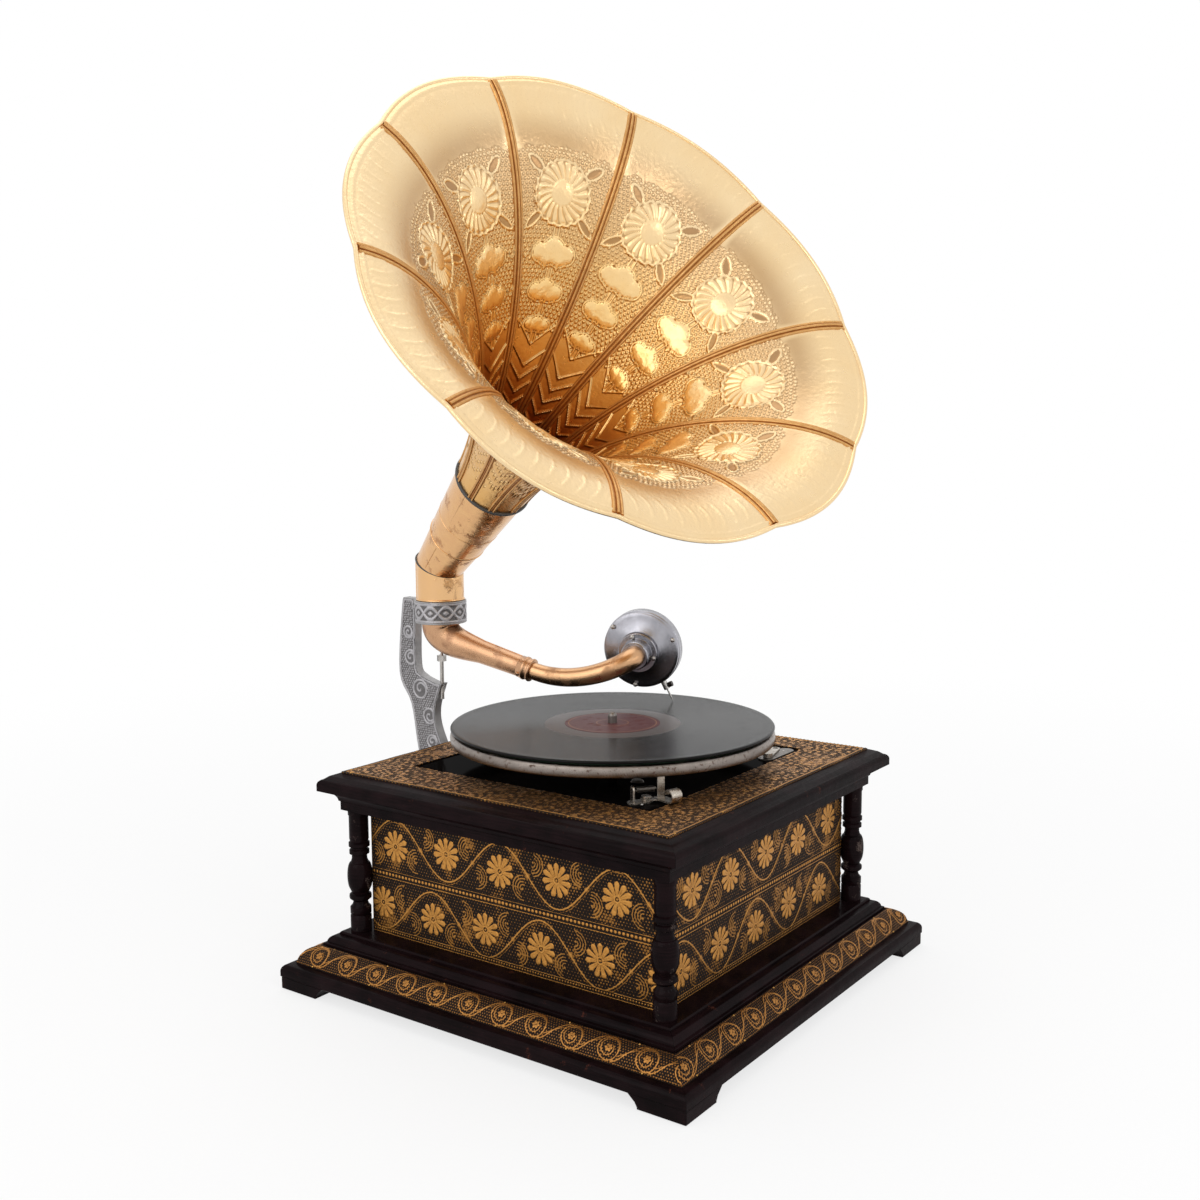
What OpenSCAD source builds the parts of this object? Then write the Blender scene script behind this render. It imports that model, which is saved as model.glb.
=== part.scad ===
// Table gramophone with a square embossed cabinet, a clockwork turntable and a petal horn.
// Millimetres. The origin is the centre of the cabinet's footprint on the surface that it
// stands on, +Z is up, and the mouth of the horn looks towards -Y.

/* [Cabinet] */
// How far the plinth board stands out from the case
plinth_overhang = 51; // [46:0.5:60]
// Thickness of the plinth board
plinth_t = 10.4; // [8:0.2:14]
// Height of the corner feet
foot_h = 9; // [6:0.5:16]
// Side of each corner foot
foot_w = 45; // [35:1:60]
// Distance from the plinth's edge to the base moulding
plinth_margin = 8.7; // [6:0.1:12]
// Height of the base moulding
base_moulding_h = 13.1; // [10:0.1:18]
// How far the base moulding slopes in
base_moulding_d = 13.9; // [10:0.1:16]
// Height of the lower moulding
lower_moulding_h = 10.3; // [8:0.1:14]
// How far the lower moulding slopes in
lower_moulding_d = 11; // [8:0.1:12]
// Side of the case over its walls
case_w = 268; // [256:1:270]
// Height of the case walls above the lower moulding
case_h = 96.7; // [90:0.1:130]
// Thickness of the case walls
wall_t = 10; // [8:0.5:12]
// Thickness of the embossed sheets
sheet_t = 1; // [0.6:0.1:1.2]
// Radius of the corner pillars' shafts
pillar_r = 8.1; // [7:0.1:8.6]
// Distance from the case's side to the pillars' axes
pillar_offset = 6.6; // [6:0.1:7.4]
// How far the top frame's nose stands out from the case
top_overhang = 28.5; // [26:0.5:33]
// Thickness of the top frame
top_t = 28.9; // [26:0.1:34]
// Side of the opening for the motor board
deck_w = 222; // [214:1:226]
// Thickness of the motor board
motor_board_t = 12; // [10:0.5:14]

/* [Turntable] */
// Radius of the record
record_r = 127; // [120:0.5:128]
// Thickness of the record
record_t = 2.2; // [1.6:0.1:3]
// Radius of the record's label
label_r = 37.5; // [30:0.5:45]
// Height of the record's top above the cabinet's top
record_above_deck = 29.8; // [27:0.1:36]
// Depth of the platter with its rim
platter_h = 8.6; // [7:0.1:11]
// Radius of the spindle
spindle_r = 3.55; // [3:0.05:4]
// Thickness of the felt mat
mat_t = 1.5; // [1:0.1:3]

/* [Tonearm] */
// Distance from the top frame's nose to the tonearm's pivot
pivot_behind_top = 16.9; // [15:0.1:20]
// Height of the bracket's ring above the record's top
ring_above_record = 66.5; // [62:0.5:80]
// Height of the bracket's ring
ring_h = 18.5; // [16:0.5:24]
// Outer radius of the bracket's ring
ring_r = 21.4; // [20.5:0.1:24]
// Angle between the tonearm and straight ahead
arm_heading = 12; // [8:0.5:16]
// Length of the tonearm from its pivot to the collar's end
arm_len = 87.3; // [84:0.1:92]
// Height of the collar's centre above the record
collar_above_record = 29.4; // [28:0.1:31]
// Outer radius of the tonearm tube in the ring
arm_top_r = 16.2; // [15:0.1:16.4]
// Outer radius of the tonearm tube at its collar
arm_end_r = 8.9; // [8.6:0.1:9.4]
// Outer radius of the gooseneck in the collar
gooseneck_r = 7.3; // [6.6:0.1:7.6]
// Wall of the brass tubes
tube_wall = 1; // [0.6:0.1:1.2]
// Radius of the sound box
box_r = 32.5; // [28:0.5:34]

/* [Horn] */
// Radius of the horn's mouth at its seams
mouth_r = 190; // [170:1:200]
// How far the petals bulge past the seams at the rim
petal_bulge = 5; // [2:0.5:8]
// Number of petals
petals = 10; // [8:1:12]
// Thickness of the horn's sheet metal
horn_t = 1.2; // [1:0.1:2]
// Outer radius of the horn's socket tube
socket_r = 20.1; // [19.4:0.1:21]
// Height of the horn's elbow above the ring
elbow_above_ring = 29; // [28:0.5:34]
// Radius of the horn where the neck meets the petals
neck_end_r = 29; // [26:0.5:31]
// Distance from the elbow to where the neck meets the petals
neck_len = 123; // [115:1:130]

/* [Motor] */
// Radius of the spring barrel
barrel_r = 32; // [28:0.5:33]
// Height of the spring barrel
barrel_h = 26; // [22:0.5:27]
// Distance between the two motor plates
motor_gap = 47; // [46:0.5:50]
// Length of the crank arm
crank_len = 70; // [55:1:73]
// Clearance between a shaft and its bearing
shaft_clear = 0.06; // [0.03:0.01:0.1]

/* [Hidden] */

mitre_gap = 0.05;      // half of the gap between two mitred rails
seat = 0.3;            // gap between two bodies that rest on each other
joint_gap = 0.05;      // gap between boards of the case
arc_steps = 8;         // straight steps in a moulding's quarter round

case_half = case_w / 2;
plinth_half = case_half + plinth_overhang;
plinth_w = 2 * plinth_half;
top_half = case_half + top_overhang;
plinth_z = foot_h + plinth_t;
lower_z = plinth_z + base_moulding_h;
case_z = lower_z + lower_moulding_h;
top_z = case_z + case_h;
frame_top_z = top_z + top_t;
top_sheet_t = 0.8;
deck_z = frame_top_z + top_sheet_t;
base_r = plinth_half - plinth_margin;
strip_r = base_r - base_moulding_d;

// the motor board lies a little behind and to the right of the middle
deck_shift = [6, 5];
deck_front_left = deck_shift - [deck_w, deck_w] / 2;
deck_front_right = deck_shift + [deck_w, -deck_w] / 2;
board_gap = 0.5;
board_drop = 0.2;
board_top_z = frame_top_z - board_drop;
board_z = board_top_z - motor_board_t;
lip_w = 4;
lip_t = 7.5;

record_z = deck_z + record_above_deck;
pivot_y = top_half + pivot_behind_top;
ring_z = record_z + ring_above_record;

// A polygon's arc round a centre, from one angle to another.
function arc(centre, r, from, to, steps = arc_steps) =
    [for (i = [0:steps]) let (a = from + (to - from) * i / steps)
        centre + r * [cos(a), sin(a)]];

// Four mitred rails round the cabinet. The profile's first number is the distance
// from the middle of the cabinet, and its second is the height.
module mitred_rails(profile, half) {
    reach = half + 1;
    for (turn = [0:90:270]) rotate(turn) intersection() {
        rotate([90, 0, 0]) translate([0, 0, -reach]) linear_extrude(2 * reach) polygon(profile);
        linear_extrude(frame_top_z + 1)
            polygon([[mitre_gap, 0], [reach, reach - mitre_gap], [reach, mitre_gap - reach]]);
    }
}

// Plinth and mouldings

module plinth_board() {
    color("#1c1514") {
        edge_r = plinth_t * 0.55;
        difference() {
            translate([-plinth_half, -plinth_half, foot_h])
                cube([plinth_w, plinth_w, plinth_t]);
            // the upper edge is rounded over on all four sides
            for (turn = [0:90:270]) rotate(turn)
                rotate([90, 0, 0]) translate([0, 0, -plinth_half - 1])
                    linear_extrude(plinth_w + 2)
                        polygon(concat(
                            [[plinth_half + 1, plinth_z + 1], [plinth_half - edge_r, plinth_z + 1]],
                            arc([plinth_half - edge_r, plinth_z - edge_r], edge_r, 90, 0),
                            [[plinth_half + 1, plinth_z - edge_r]]));
        }
    }
}

module corner_feet() {
    color("#1c1514")
    for (turn = [0:90:270]) rotate(turn)
        translate([plinth_half - foot_w, plinth_half - foot_w, 0])
            cube([foot_w, foot_w, foot_h]);
}

strip_t = 0.8;
moulding_bulge = 3.4;

// Height over the plinth and distance from the middle of the base moulding's round face.
function base_face(inset) = [
    for (i = [0:arc_steps]) let (
        f = i / arc_steps,
        out = moulding_bulge * sin(180 * f) - inset)
        [base_r - base_moulding_d * f + out * 0.7, plinth_z + base_moulding_h * f + out * 0.7]
];

module base_moulding() {
    color("#241a17")
    mitred_rails(concat(
        [[case_half, lower_z - strip_t], [case_half, plinth_z], [base_r - strip_t, plinth_z]],
        [for (p = base_face(strip_t)) if (p[1] > plinth_z && p[1] < lower_z - strip_t) p],
        [[strip_r - strip_t, lower_z - strip_t]]), plinth_half);
}

module base_strips() {
    color("#8a6a35")
    mitred_rails(concat(
        [[base_r - strip_t, plinth_z], [base_r, plinth_z]],
        [for (p = base_face(0)) if (p[1] > plinth_z + 0.01 && p[1] < lower_z) p],
        [[strip_r, lower_z], [strip_r - strip_t * 2, lower_z],
         [strip_r - strip_t * 2, lower_z - strip_t], [strip_r - strip_t, lower_z - strip_t]],
        [for (i = [arc_steps:-1:0]) let (p = base_face(strip_t)[i])
            if (p[1] > plinth_z && p[1] < lower_z - strip_t) p]), plinth_half);
}

module lower_moulding() {
    fillet = 2.2;
    outer = strip_r - 1;
    inner = strip_r - lower_moulding_d;
    rise = lower_moulding_h - 2 * fillet;
    color("#1c1514")
    mitred_rails(concat(
        [[case_half, case_z], [case_half, lower_z], [outer, lower_z], [outer, lower_z + fillet]],
        [for (i = [1:arc_steps - 1]) let (f = i / arc_steps)
            [outer - 2 - (outer - inner - 3) * (1 - cos(90 * f)), lower_z + fillet + rise * sin(90 * f)]],
        [[inner + 1, case_z - fillet], [inner + 1, case_z - 1], [inner, case_z]]), plinth_half);
}

// Case walls and the embossed sheets on them

wall_h = top_z - plinth_z;
crank_y = 58;

module plain_wall(width) {
    translate([-width / 2, case_half - wall_t, plinth_z]) cube([width, wall_t, wall_h]);
}

side_wall_w = case_w - 2 * wall_t - 2 * joint_gap;

module front_wall() color("#2a1e19") rotate(180) plain_wall(case_w);
module back_wall() color("#2a1e19") difference() {
    plain_wall(case_w);
    bracket_screw_holes();
}
module left_wall() color("#2a1e19") rotate(90) plain_wall(side_wall_w);
module right_wall() color("#2a1e19") difference() {
    rotate(-90) plain_wall(side_wall_w);
    translate([case_half - wall_t - 1, crank_y, crank_z]) rotate([0, 90, 0])
        cylinder(r = bush_r + joint_gap, h = wall_t + 2);
}

sheet_half = case_half + pillar_offset - pillar_r - 0.3;

module wall_sheet() {
    translate([-sheet_half, case_half, case_z]) cube([2 * sheet_half, sheet_t, case_h]);
}

module wall_sheets() {
    color("#9c7a3c") difference() {
        for (turn = [0:90:270]) rotate(turn) wall_sheet();
        bracket_screw_holes();
        translate([case_half - 1, crank_y, crank_z]) rotate([0, 90, 0])
            cylinder(r = bush_r + joint_gap, h = sheet_t + 2);
    }
}

// Turned pillars with a plain shaft on top, a pair of rings, a bulb, rings and a plain base

module corner_pillars() {
    r = pillar_r;
    h = case_h;
    base_h = 0.2 * h;
    bulb_z = 0.455 * h;
    bulb_r = r + 1.6;
    profile = concat(
        [[0, 0], [r, 0], [r, 0.13 * h], [r - 0.8, 0.14 * h], [r, 0.15 * h], [r, base_h]],
        [[r - 1.8, base_h + 2], [r - 2.6, base_h + 5], [r + 0.4, base_h + 7]],
        [[r + 0.4, base_h + 10], [r - 1.6, base_h + 11.4]],
        [for (i = [0:arc_steps]) let (a = -50 + 140 * i / arc_steps)
            [r - 1.2 + (bulb_r - r + 1.2) * cos(a), bulb_z + 11 * sin(a)]],
        [[r - 2.2, 0.6 * h], [r - 2.2, 0.63 * h], [r - 0.4, 0.64 * h], [r - 0.4, 0.67 * h]],
        [[r - 1.6, 0.68 * h], [r - 1.6, 0.69 * h], [r, 0.7 * h], [r, 0.73 * h]],
        [[r - 1.2, 0.74 * h], [r - 0.6, 0.76 * h], [r - 0.6, 0.95 * h], [r, 0.96 * h], [r, h]],
        [[0, h]]);
    notch = case_half;
    sheet_out = case_half + sheet_t;
    color("#1a1413")
    for (turn = [0:90:270]) rotate(turn)
        difference() {
            translate([case_half + pillar_offset, case_half + pillar_offset, case_z])
                rotate_extrude($fn = 48) polygon(profile);
            translate([0, 0, case_z - 1]) {
                cube([notch, notch, h + 2]);
                cube([sheet_out, sheet_half, h + 2]);
                cube([sheet_half, sheet_out, h + 2]);
            }
        }
}

// Top frame, its embossed sheet and the motor board

fascia_h = 6.5;

module deck_cut(inset, z, h) {
    side = deck_w - 2 * inset;
    translate([deck_shift[0] - side / 2, deck_shift[1] - side / 2, z]) cube([side, side, h]);
}

module top_frame() {
    fascia = top_half - 12.5;
    nose_r = 4.6;
    nose_z = frame_top_z - 1.5 - nose_r * 1.6;
    color("#1c1514") difference() {
        mitred_rails(concat(
            [[case_half - wall_t, top_z], [fascia, top_z], [fascia, top_z + fascia_h]],
            [for (i = [1:arc_steps]) let (a = 90 * i / arc_steps)
                [fascia + 1 + (top_half - fascia - 1) * (1 - cos(a)),
                 top_z + fascia_h + (nose_z - nose_r - top_z - fascia_h) * sin(a)]],
            arc([top_half - nose_r, nose_z], nose_r, 0, 80),
            [[top_half - 7, frame_top_z - 2], [top_half - 12.5, frame_top_z]],
            [[deck_w / 2 - 30, frame_top_z], [deck_w / 2 - 30, board_z - lip_t]],
            [[case_half - wall_t, board_z - lip_t]]), top_half);
        deck_cut(0, board_z, frame_top_z);
        deck_cut(lip_w, top_z - 1, frame_top_z);
    }
}

module top_sheet() {
    sheet_half = top_half - 13.5;
    color("#7d6033") difference() {
        translate([-sheet_half, -sheet_half, frame_top_z])
            cube([2 * sheet_half, 2 * sheet_half, top_sheet_t]);
        deck_cut(0, frame_top_z - 1, top_sheet_t + 2);
    }
}

bolt_spots = [[-42, -52], [36, -52], [-48, 82], [52, 82]];
bolt_r = 2.5;

module motor_board() {
    color("#151313") difference() {
        deck_cut(board_gap, board_z, motor_board_t);
        translate([0, 0, board_z - 1]) {
            cylinder(r = 9, h = motor_board_t + 2);
            for (p = bolt_spots) translate(p) cylinder(r = bolt_r + joint_gap, h = motor_board_t + 2);
            translate(speed_axis) cylinder(r = speed_shaft_r + shaft_clear, h = motor_board_t + 2);
            translate(brake_axis) cylinder(r = brake_pin_r + joint_gap, h = motor_board_t + 2);
        }
    }
}

// Turntable

mat_top = record_z - record_t;
platter_top = mat_top - mat_t;
platter_wall = 1.6;
label_t = 0.15;

module platter() {
    color("#8f8a86")
    rotate_extrude($fn = 96) polygon([
        [spindle_r, platter_top], [record_r - 2, platter_top],
        [record_r, platter_top - 2], [record_r + 0.4, platter_top - platter_h / 2],
        [record_r, platter_top - platter_h + 1], [record_r - 1, platter_top - platter_h],
        [record_r - 1 - platter_wall, platter_top - platter_h + 1],
        [record_r - 1 - platter_wall, platter_top - platter_wall],
        [14, platter_top - platter_wall], [12, platter_top - 9], [spindle_r, platter_top - 9]]);
}

module felt_mat() {
    color("#2a3b2c") difference() {
        translate([0, 0, platter_top]) cylinder(r = record_r - 5, h = mat_t, $fn = 96);
        translate([0, 0, platter_top - 1]) cylinder(r = spindle_r, h = mat_t + 2, $fn = 48);
    }
}

module record() {
    hole = spindle_r + 0.1;
    color("#151517")
    rotate_extrude($fn = 96) polygon([
        [hole, mat_top], [record_r - 1, mat_top], [record_r, mat_top + record_t * 0.35],
        [record_r, record_z - record_t * 0.35], [record_r - 1, record_z - 0.05],
        [record_r - 2, record_z], [hole, record_z]]);
}

module record_label() {
    color("#6d2f35") difference() {
        translate([0, 0, record_z]) cylinder(r = label_r, h = label_t, $fn = 72);
        translate([0, 0, record_z - 1]) cylinder(r = spindle_r + 0.1, h = 2, $fn = 48);
    }
}

// Gear wheels. A tooth is a narrow wedge, so that meshed teeth keep clear of each other.

function gear_points(teeth, module_mm, fat = 0.36) =
    let (
        root = module_mm * (teeth / 2 - 1.15),
        tip = module_mm * (teeth / 2 + 0.8),
        step = 360 / teeth,
        base_half = step * fat * 0.62,
        tip_half = step * fat * 0.28)
    [for (i = [0:teeth - 1], k = [0:3]) let (
        a = i * step + [-base_half, -tip_half, tip_half, base_half][k],
        r = (k == 0 || k == 3) ? root : tip)
        [r * cos(a), r * sin(a)]];

module gear(teeth, module_mm, h, turn = 0, slant = 0) {
    if (slant == 0) rotate(turn) linear_extrude(h) polygon(gear_points(teeth, module_mm));
    else rotate(turn + slant / 2) linear_extrude(h, twist = slant, slices = 2)
        polygon(gear_points(teeth, module_mm, 0.3));
}

// Spring motor

plate_t = 3;
upper_plate_z = board_z - plate_t;
lower_plate_z = upper_plate_z - motor_gap - plate_t;
motor_floor = lower_plate_z + plate_t;
arbor_r = 5;
barrel_axis = [0, crank_y];

great_teeth = 78;
great_module = 1;
second_pinion_teeth = 13;
second_teeth = 60;
second_module = 0.8;
spindle_teeth = 12;
reach_one = second_module * (second_teeth + spindle_teeth) / 2;
reach_two = great_module * (great_teeth + second_pinion_teeth) / 2;

// the second wheel's axis meshes with the spindle and with the barrel
second_y = (reach_one ^ 2 - reach_two ^ 2 + crank_y ^ 2) / (2 * crank_y);
second_axis = [-sqrt(reach_one ^ 2 - second_y ^ 2), second_y];
second_z = motor_floor + 4.5;
great_z = motor_floor + 12;
drum_z = great_z + 3;

to_second = atan2(second_axis[1], second_axis[0]);
barrel_to_second = atan2(second_axis[1] - crank_y, second_axis[0]);

worm_z = motor_floor + 28;
worm_wheel_teeth = 30;
worm_r = 5;
worm_y = -(worm_wheel_teeth / 2 + worm_r + 0.4);
worm_starts = 3;
worm_half = 9;
worm_lead = worm_starts * PI;
worm_wheel_h = 6;
// the wheel's teeth lean as the worm's threads do where they meet
worm_wheel_twist = worm_wheel_h * worm_lead / (2 * PI * worm_r) / (worm_wheel_teeth / 2) * 180 / PI;

module spindle() {
    color("#b9b9bd") {
        translate([0, 0, lower_plate_z + 0.5])
            cylinder(r = spindle_r, h = record_z + 5 - lower_plate_z, $fn = 48);
        translate([0, 0, record_z + 5.5]) sphere(r = spindle_r, $fn = 32);
        // pinion driven by the second wheel
        translate([0, 0, second_z - 1]) gear(spindle_teeth, second_module, 4);
        // wheel that drives the governor's worm
        translate([0, 0, worm_z - worm_wheel_h / 2])
            gear(worm_wheel_teeth, 1, worm_wheel_h, 0, -worm_wheel_twist);
        translate([0, 0, worm_z + worm_wheel_h / 2]) cylinder(r = 8, h = 3, $fn = 32);
    }
}

module motor_plates() {
    lug_x = 26;
    color("#77736e") {
        for (z = [upper_plate_z, lower_plate_z]) difference() {
            translate([-56, -60, z]) cube([122, 152, plate_t]);
            translate([0, 0, z - 1]) {
                cylinder(r = spindle_r + shaft_clear, h = plate_t + 2, $fn = 48);
                translate(barrel_axis) cylinder(r = arbor_r + shaft_clear, h = plate_t + 2, $fn = 48);
                translate(second_axis) cylinder(r = 2 + shaft_clear, h = plate_t + 2, $fn = 48);
                for (p = bolt_spots) translate(p)
                    cylinder(r = bolt_r + joint_gap, h = plate_t + 2);
            }
        }
        // lug under the lower plate that carries the winding shaft
        difference() {
            translate([lug_x, crank_y - 9, crank_z - 9])
                cube([4, 18, lower_plate_z - crank_z + 9]);
            translate([lug_x - 1, crank_y, crank_z]) rotate([0, 90, 0])
                cylinder(r = shaft_r + shaft_clear, h = 6, $fn = 48);
        }
        // pin that the click turns on
        translate([click_pin[0], click_pin[1], ratchet_z])
            cylinder(r = click_pin_r, h = upper_plate_z - ratchet_z, $fn = 32);
    }
}

module motor_posts() {
    color("#9a958f")
    for (p = bolt_spots) translate([p[0], p[1], 0]) {
        // a post between the plates, and a bolt through all
        difference() {
            translate([0, 0, motor_floor]) cylinder(r = 6, h = motor_gap);
            translate([0, 0, motor_floor - 1]) cylinder(r = bolt_r + joint_gap, h = motor_gap + 2);
        }
        translate([0, 0, lower_plate_z - 4]) cylinder(r = bolt_r, h = board_top_z - lower_plate_z + 4);
        translate([0, 0, board_top_z]) cylinder(r1 = 5, r2 = 3.5, h = 1.8);
        translate([0, 0, lower_plate_z - 4]) cylinder(r = 4.5, h = 4, $fn = 6);
    }
}

module spring_barrel() {
    color("#a4823f") translate([barrel_axis[0], barrel_axis[1], 0]) {
        difference() {
            union() {
                translate([0, 0, great_z])
                    gear(great_teeth, great_module, 3, barrel_to_second + 180 / great_teeth);
                translate([0, 0, drum_z]) cylinder(r = barrel_r, h = barrel_h, $fn = 72);
            }
            translate([0, 0, drum_z]) cylinder(r = barrel_r - 1.5, h = barrel_h - 2, $fn = 72);
            translate([0, 0, great_z - 1])
                cylinder(r = arbor_r + shaft_clear, h = barrel_h + 6, $fn = 48);
        }
    }
}

spring_turns = 7;
spring_steps = 16;

module mainspring() {
    first = arbor_r + 1.5;
    last = barrel_r - 2.2;
    band = 0.8;
    total = spring_turns * spring_steps;
    line = [for (i = [0:total]) let (
        a = 360 * i / spring_steps,
        r = first + (last - first) * i / total) [a, r]];
    color("#5b6670")
    translate([barrel_axis[0], barrel_axis[1], drum_z + 0.5]) linear_extrude(barrel_h - 3)
        polygon(concat(
            [for (p = line) p[1] * [cos(p[0]), sin(p[0])]],
            [for (i = [total:-1:0]) (line[i][1] - band) * [cos(line[i][0]), sin(line[i][0])]]));
}

crown_teeth = 32;
crank_pinion_teeth = 16;
crown_r = crown_teeth / 2;
crank_z = lower_plate_z - 17;
crown_tooth_z = crank_z + crank_pinion_teeth / 2 - 0.6;
ratchet_teeth = 16;
ratchet_r = 13;
ratchet_z = upper_plate_z - 3.4;

module barrel_arbor() {
    color("#8d8f93") translate([barrel_axis[0], barrel_axis[1], 0]) {
        translate([0, 0, crown_tooth_z + 2.4])
            cylinder(r = arbor_r, h = upper_plate_z + plate_t - 0.5 - crown_tooth_z - 2.4, $fn = 48);
        // crown wheel that the winding pinion turns
        translate([0, 0, crown_tooth_z + 2]) cylinder(r = crown_r + 3, h = 3, $fn = 64);
        for (i = [0:crown_teeth - 1]) rotate((i + 0.5) * 360 / crown_teeth)
            translate([crown_r - 2, 0, crown_tooth_z]) rotate([90, 0, 90])
                linear_extrude(5) polygon([[-0.35, 0], [0.35, 0], [0.6, 2.3], [-0.6, 2.3]]);
        // ratchet wheel under the upper plate
        translate([0, 0, ratchet_z]) linear_extrude(2.6)
            polygon([for (i = [0:ratchet_teeth - 1], k = [0:1])
                let (a = (i + 0.02 * k) * 360 / ratchet_teeth, r = ratchet_r - 2.4 * k)
                r * [cos(a), sin(a)]]);
    }
}

click_pin = [18, crank_y + 18];
click_pin_r = 1.5;
// the click stands raised by this angle, so its nose just clears the turning teeth
click_raised = 5.5;

module click() {
    // lowered, the nose stops just short of a tooth of the ratchet wheel
    nose_low = (ratchet_r - 1.3) * [cos(2.2), sin(2.2)];
    nose_high = (ratchet_r + 1.2) * [cos(1.9), sin(1.9)];
    color("#6f7478") translate([click_pin[0], click_pin[1], ratchet_z])
    rotate(click_raised) difference() {
        union() {
            cylinder(r = 4, h = 2.6, $fn = 32);
            translate(barrel_axis - click_pin) linear_extrude(2.6)
                polygon([nose_low, nose_high, [21.5, 16.6], [15, 19]]);
        }
        translate([0, 0, -1]) cylinder(r = click_pin_r + shaft_clear, h = 5, $fn = 32);
    }
}

module second_wheel() {
    color("#b08d46") translate([second_axis[0], second_axis[1], 0]) {
        translate([0, 0, lower_plate_z + 0.5])
            cylinder(r = 2, h = motor_gap + plate_t + 2, $fn = 48);
        translate([0, 0, second_z])
            gear(second_teeth, second_module, 2, to_second + 180 + to_second_phase);
        translate([0, 0, great_z - 1.5])
            gear(second_pinion_teeth, great_module, 6, barrel_to_second + 180);
    }
}
// the spindle's pinion has a tooth at angle 0, so the wheel's gap is set against it
pinion_step = 360 / spindle_teeth;
pinion_offset = to_second - round(to_second / pinion_step) * pinion_step;
to_second_phase = pinion_offset * spindle_teeth / second_teeth + 180 / second_teeth;

// Governor: a worm shaft with three weights on leaf springs and a sliding disc

governor_left = -16;
governor_right = 60;
disc_x = 44;

module on_governor() translate([0, worm_y, worm_z]) rotate([0, 90, 0]) children();

module governor() {
    color("#a9a49a") on_governor() {
        translate([0, 0, governor_left - 2.5])
            cylinder(r = 1.6, h = governor_right - governor_left + 5, $fn = 32);
        // worm
        translate([0, 0, -worm_half])
            linear_extrude(2 * worm_half, twist = -360 * 2 * worm_half / worm_lead, slices = 20)
                rotate(worm_phase) polygon(worm_points());
        // hub, weights on their springs, and the friction disc
        translate([0, 0, 13]) cylinder(r = 4, h = 3, $fn = 32);
        translate([0, 0, disc_x - 5]) cylinder(r = 4, h = 5, $fn = 32);
        translate([0, 0, disc_x]) cylinder(r = 11, h = 1.5, $fn = 48);
        for (turn = [0:120:240]) rotate(turn) {
            translate([3.2, -2, 13]) cube([0.8, 4, disc_x - 16]);
            translate([6.6, 0, 27]) sphere(r = 3.6, $fn = 32);
        }
    }
}
// a thread faces the spindle at the middle of the worm
worm_phase = 90 - 360 * worm_half / worm_lead;
function worm_points() = [for (i = [0:worm_starts - 1], k = [0:3]) let (
    a = i * 360 / worm_starts + [-34, -14, 14, 34][k],
    r = (k == 0 || k == 3) ? worm_r - 1.3 : worm_r + 0.5)
    [r * cos(a), r * sin(a)]];

module governor_brackets() {
    color("#77736e")
    for (x = [governor_left, governor_right]) difference() {
        translate([x - 2, worm_y - 5, worm_z - 5]) cube([4, 10, upper_plate_z - worm_z + 5]);
        translate([x - 3, worm_y, worm_z]) rotate([0, 90, 0])
            cylinder(r = 1.6 + shaft_clear, h = 6, $fn = 32);
    }
}

// Winding shaft and crank

bush_r = 9;
shaft_r = 5;
crank_shaft_start = 10;
winding_len = case_half - wall_t - 4 - crank_shaft_start;
crank_plane = plinth_half + 8;

module winding_shaft() {
    color("#8d8f93") translate([0, crank_y, crank_z]) rotate([0, 90, 0]) {
        translate([0, 0, crank_shaft_start])
            cylinder(r = shaft_r, h = winding_len, $fn = 48);
        translate([0, 0, crown_r - 2.2]) gear(crank_pinion_teeth, 1, 5.6, 0);
    }
}

bush_flange_r = 16;

module crank_bush() {
    color("#b4b4b8") translate([0, crank_y, crank_z]) rotate([0, 90, 0]) difference() {
        union() {
            translate([0, 0, case_half - wall_t]) cylinder(r = bush_r, h = wall_t + sheet_t + 1, $fn = 48);
            translate([0, 0, case_half + sheet_t]) cylinder(r = bush_flange_r, h = 2, $fn = 48);
        }
        translate([0, 0, case_half - wall_t - 1])
            cylinder(r = shaft_r + shaft_clear, h = wall_t + sheet_t + 5, $fn = 48);
    }
}

knob_pin_r = 2.5;
knob_len = 36;
crank_arm_t = 5;

module crank() {
    color("#b4b4b8") translate([0, crank_y, crank_z]) {
        rotate([0, 90, 0]) translate([0, 0, crank_shaft_start + winding_len])
            cylinder(r = shaft_r, h = crank_plane + crank_arm_t - crank_shaft_start - winding_len,
                $fn = 48);
        // flat arm that hangs down from the shaft
        translate([crank_plane, 0, 0]) rotate([90, 0, 90]) linear_extrude(crank_arm_t) {
            circle(r = 9, $fn = 48);
            translate([0, -crank_len]) circle(r = 6, $fn = 48);
            polygon([[-6.5, 0], [6.5, 0], [4.8, -crank_len], [-4.8, -crank_len]]);
        }
        // pin with a head that keeps the knob on
        translate([crank_plane + crank_arm_t, 0, -crank_len]) rotate([0, 90, 0]) {
            cylinder(r = knob_pin_r, h = knob_len + 2 * seat + 2, $fn = 32);
            translate([0, 0, knob_len + 2 * seat]) cylinder(r = 5, h = 2, $fn = 32);
        }
    }
}

module crank_knob() {
    r = 9;
    color("#2a1612") translate([crank_plane + crank_arm_t + seat, crank_y, crank_z - crank_len])
        rotate([0, 90, 0]) rotate_extrude($fn = 48) polygon(concat(
            [[knob_pin_r + shaft_clear, 0], [5.5, 0]],
            [for (i = [1:arc_steps]) let (f = i / arc_steps)
                [5.5 + (r - 5.5) * sin(155 * f) ^ 0.7, knob_len * f * 0.98]],
            [[knob_pin_r + shaft_clear, knob_len]]));
}

// Brake

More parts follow.
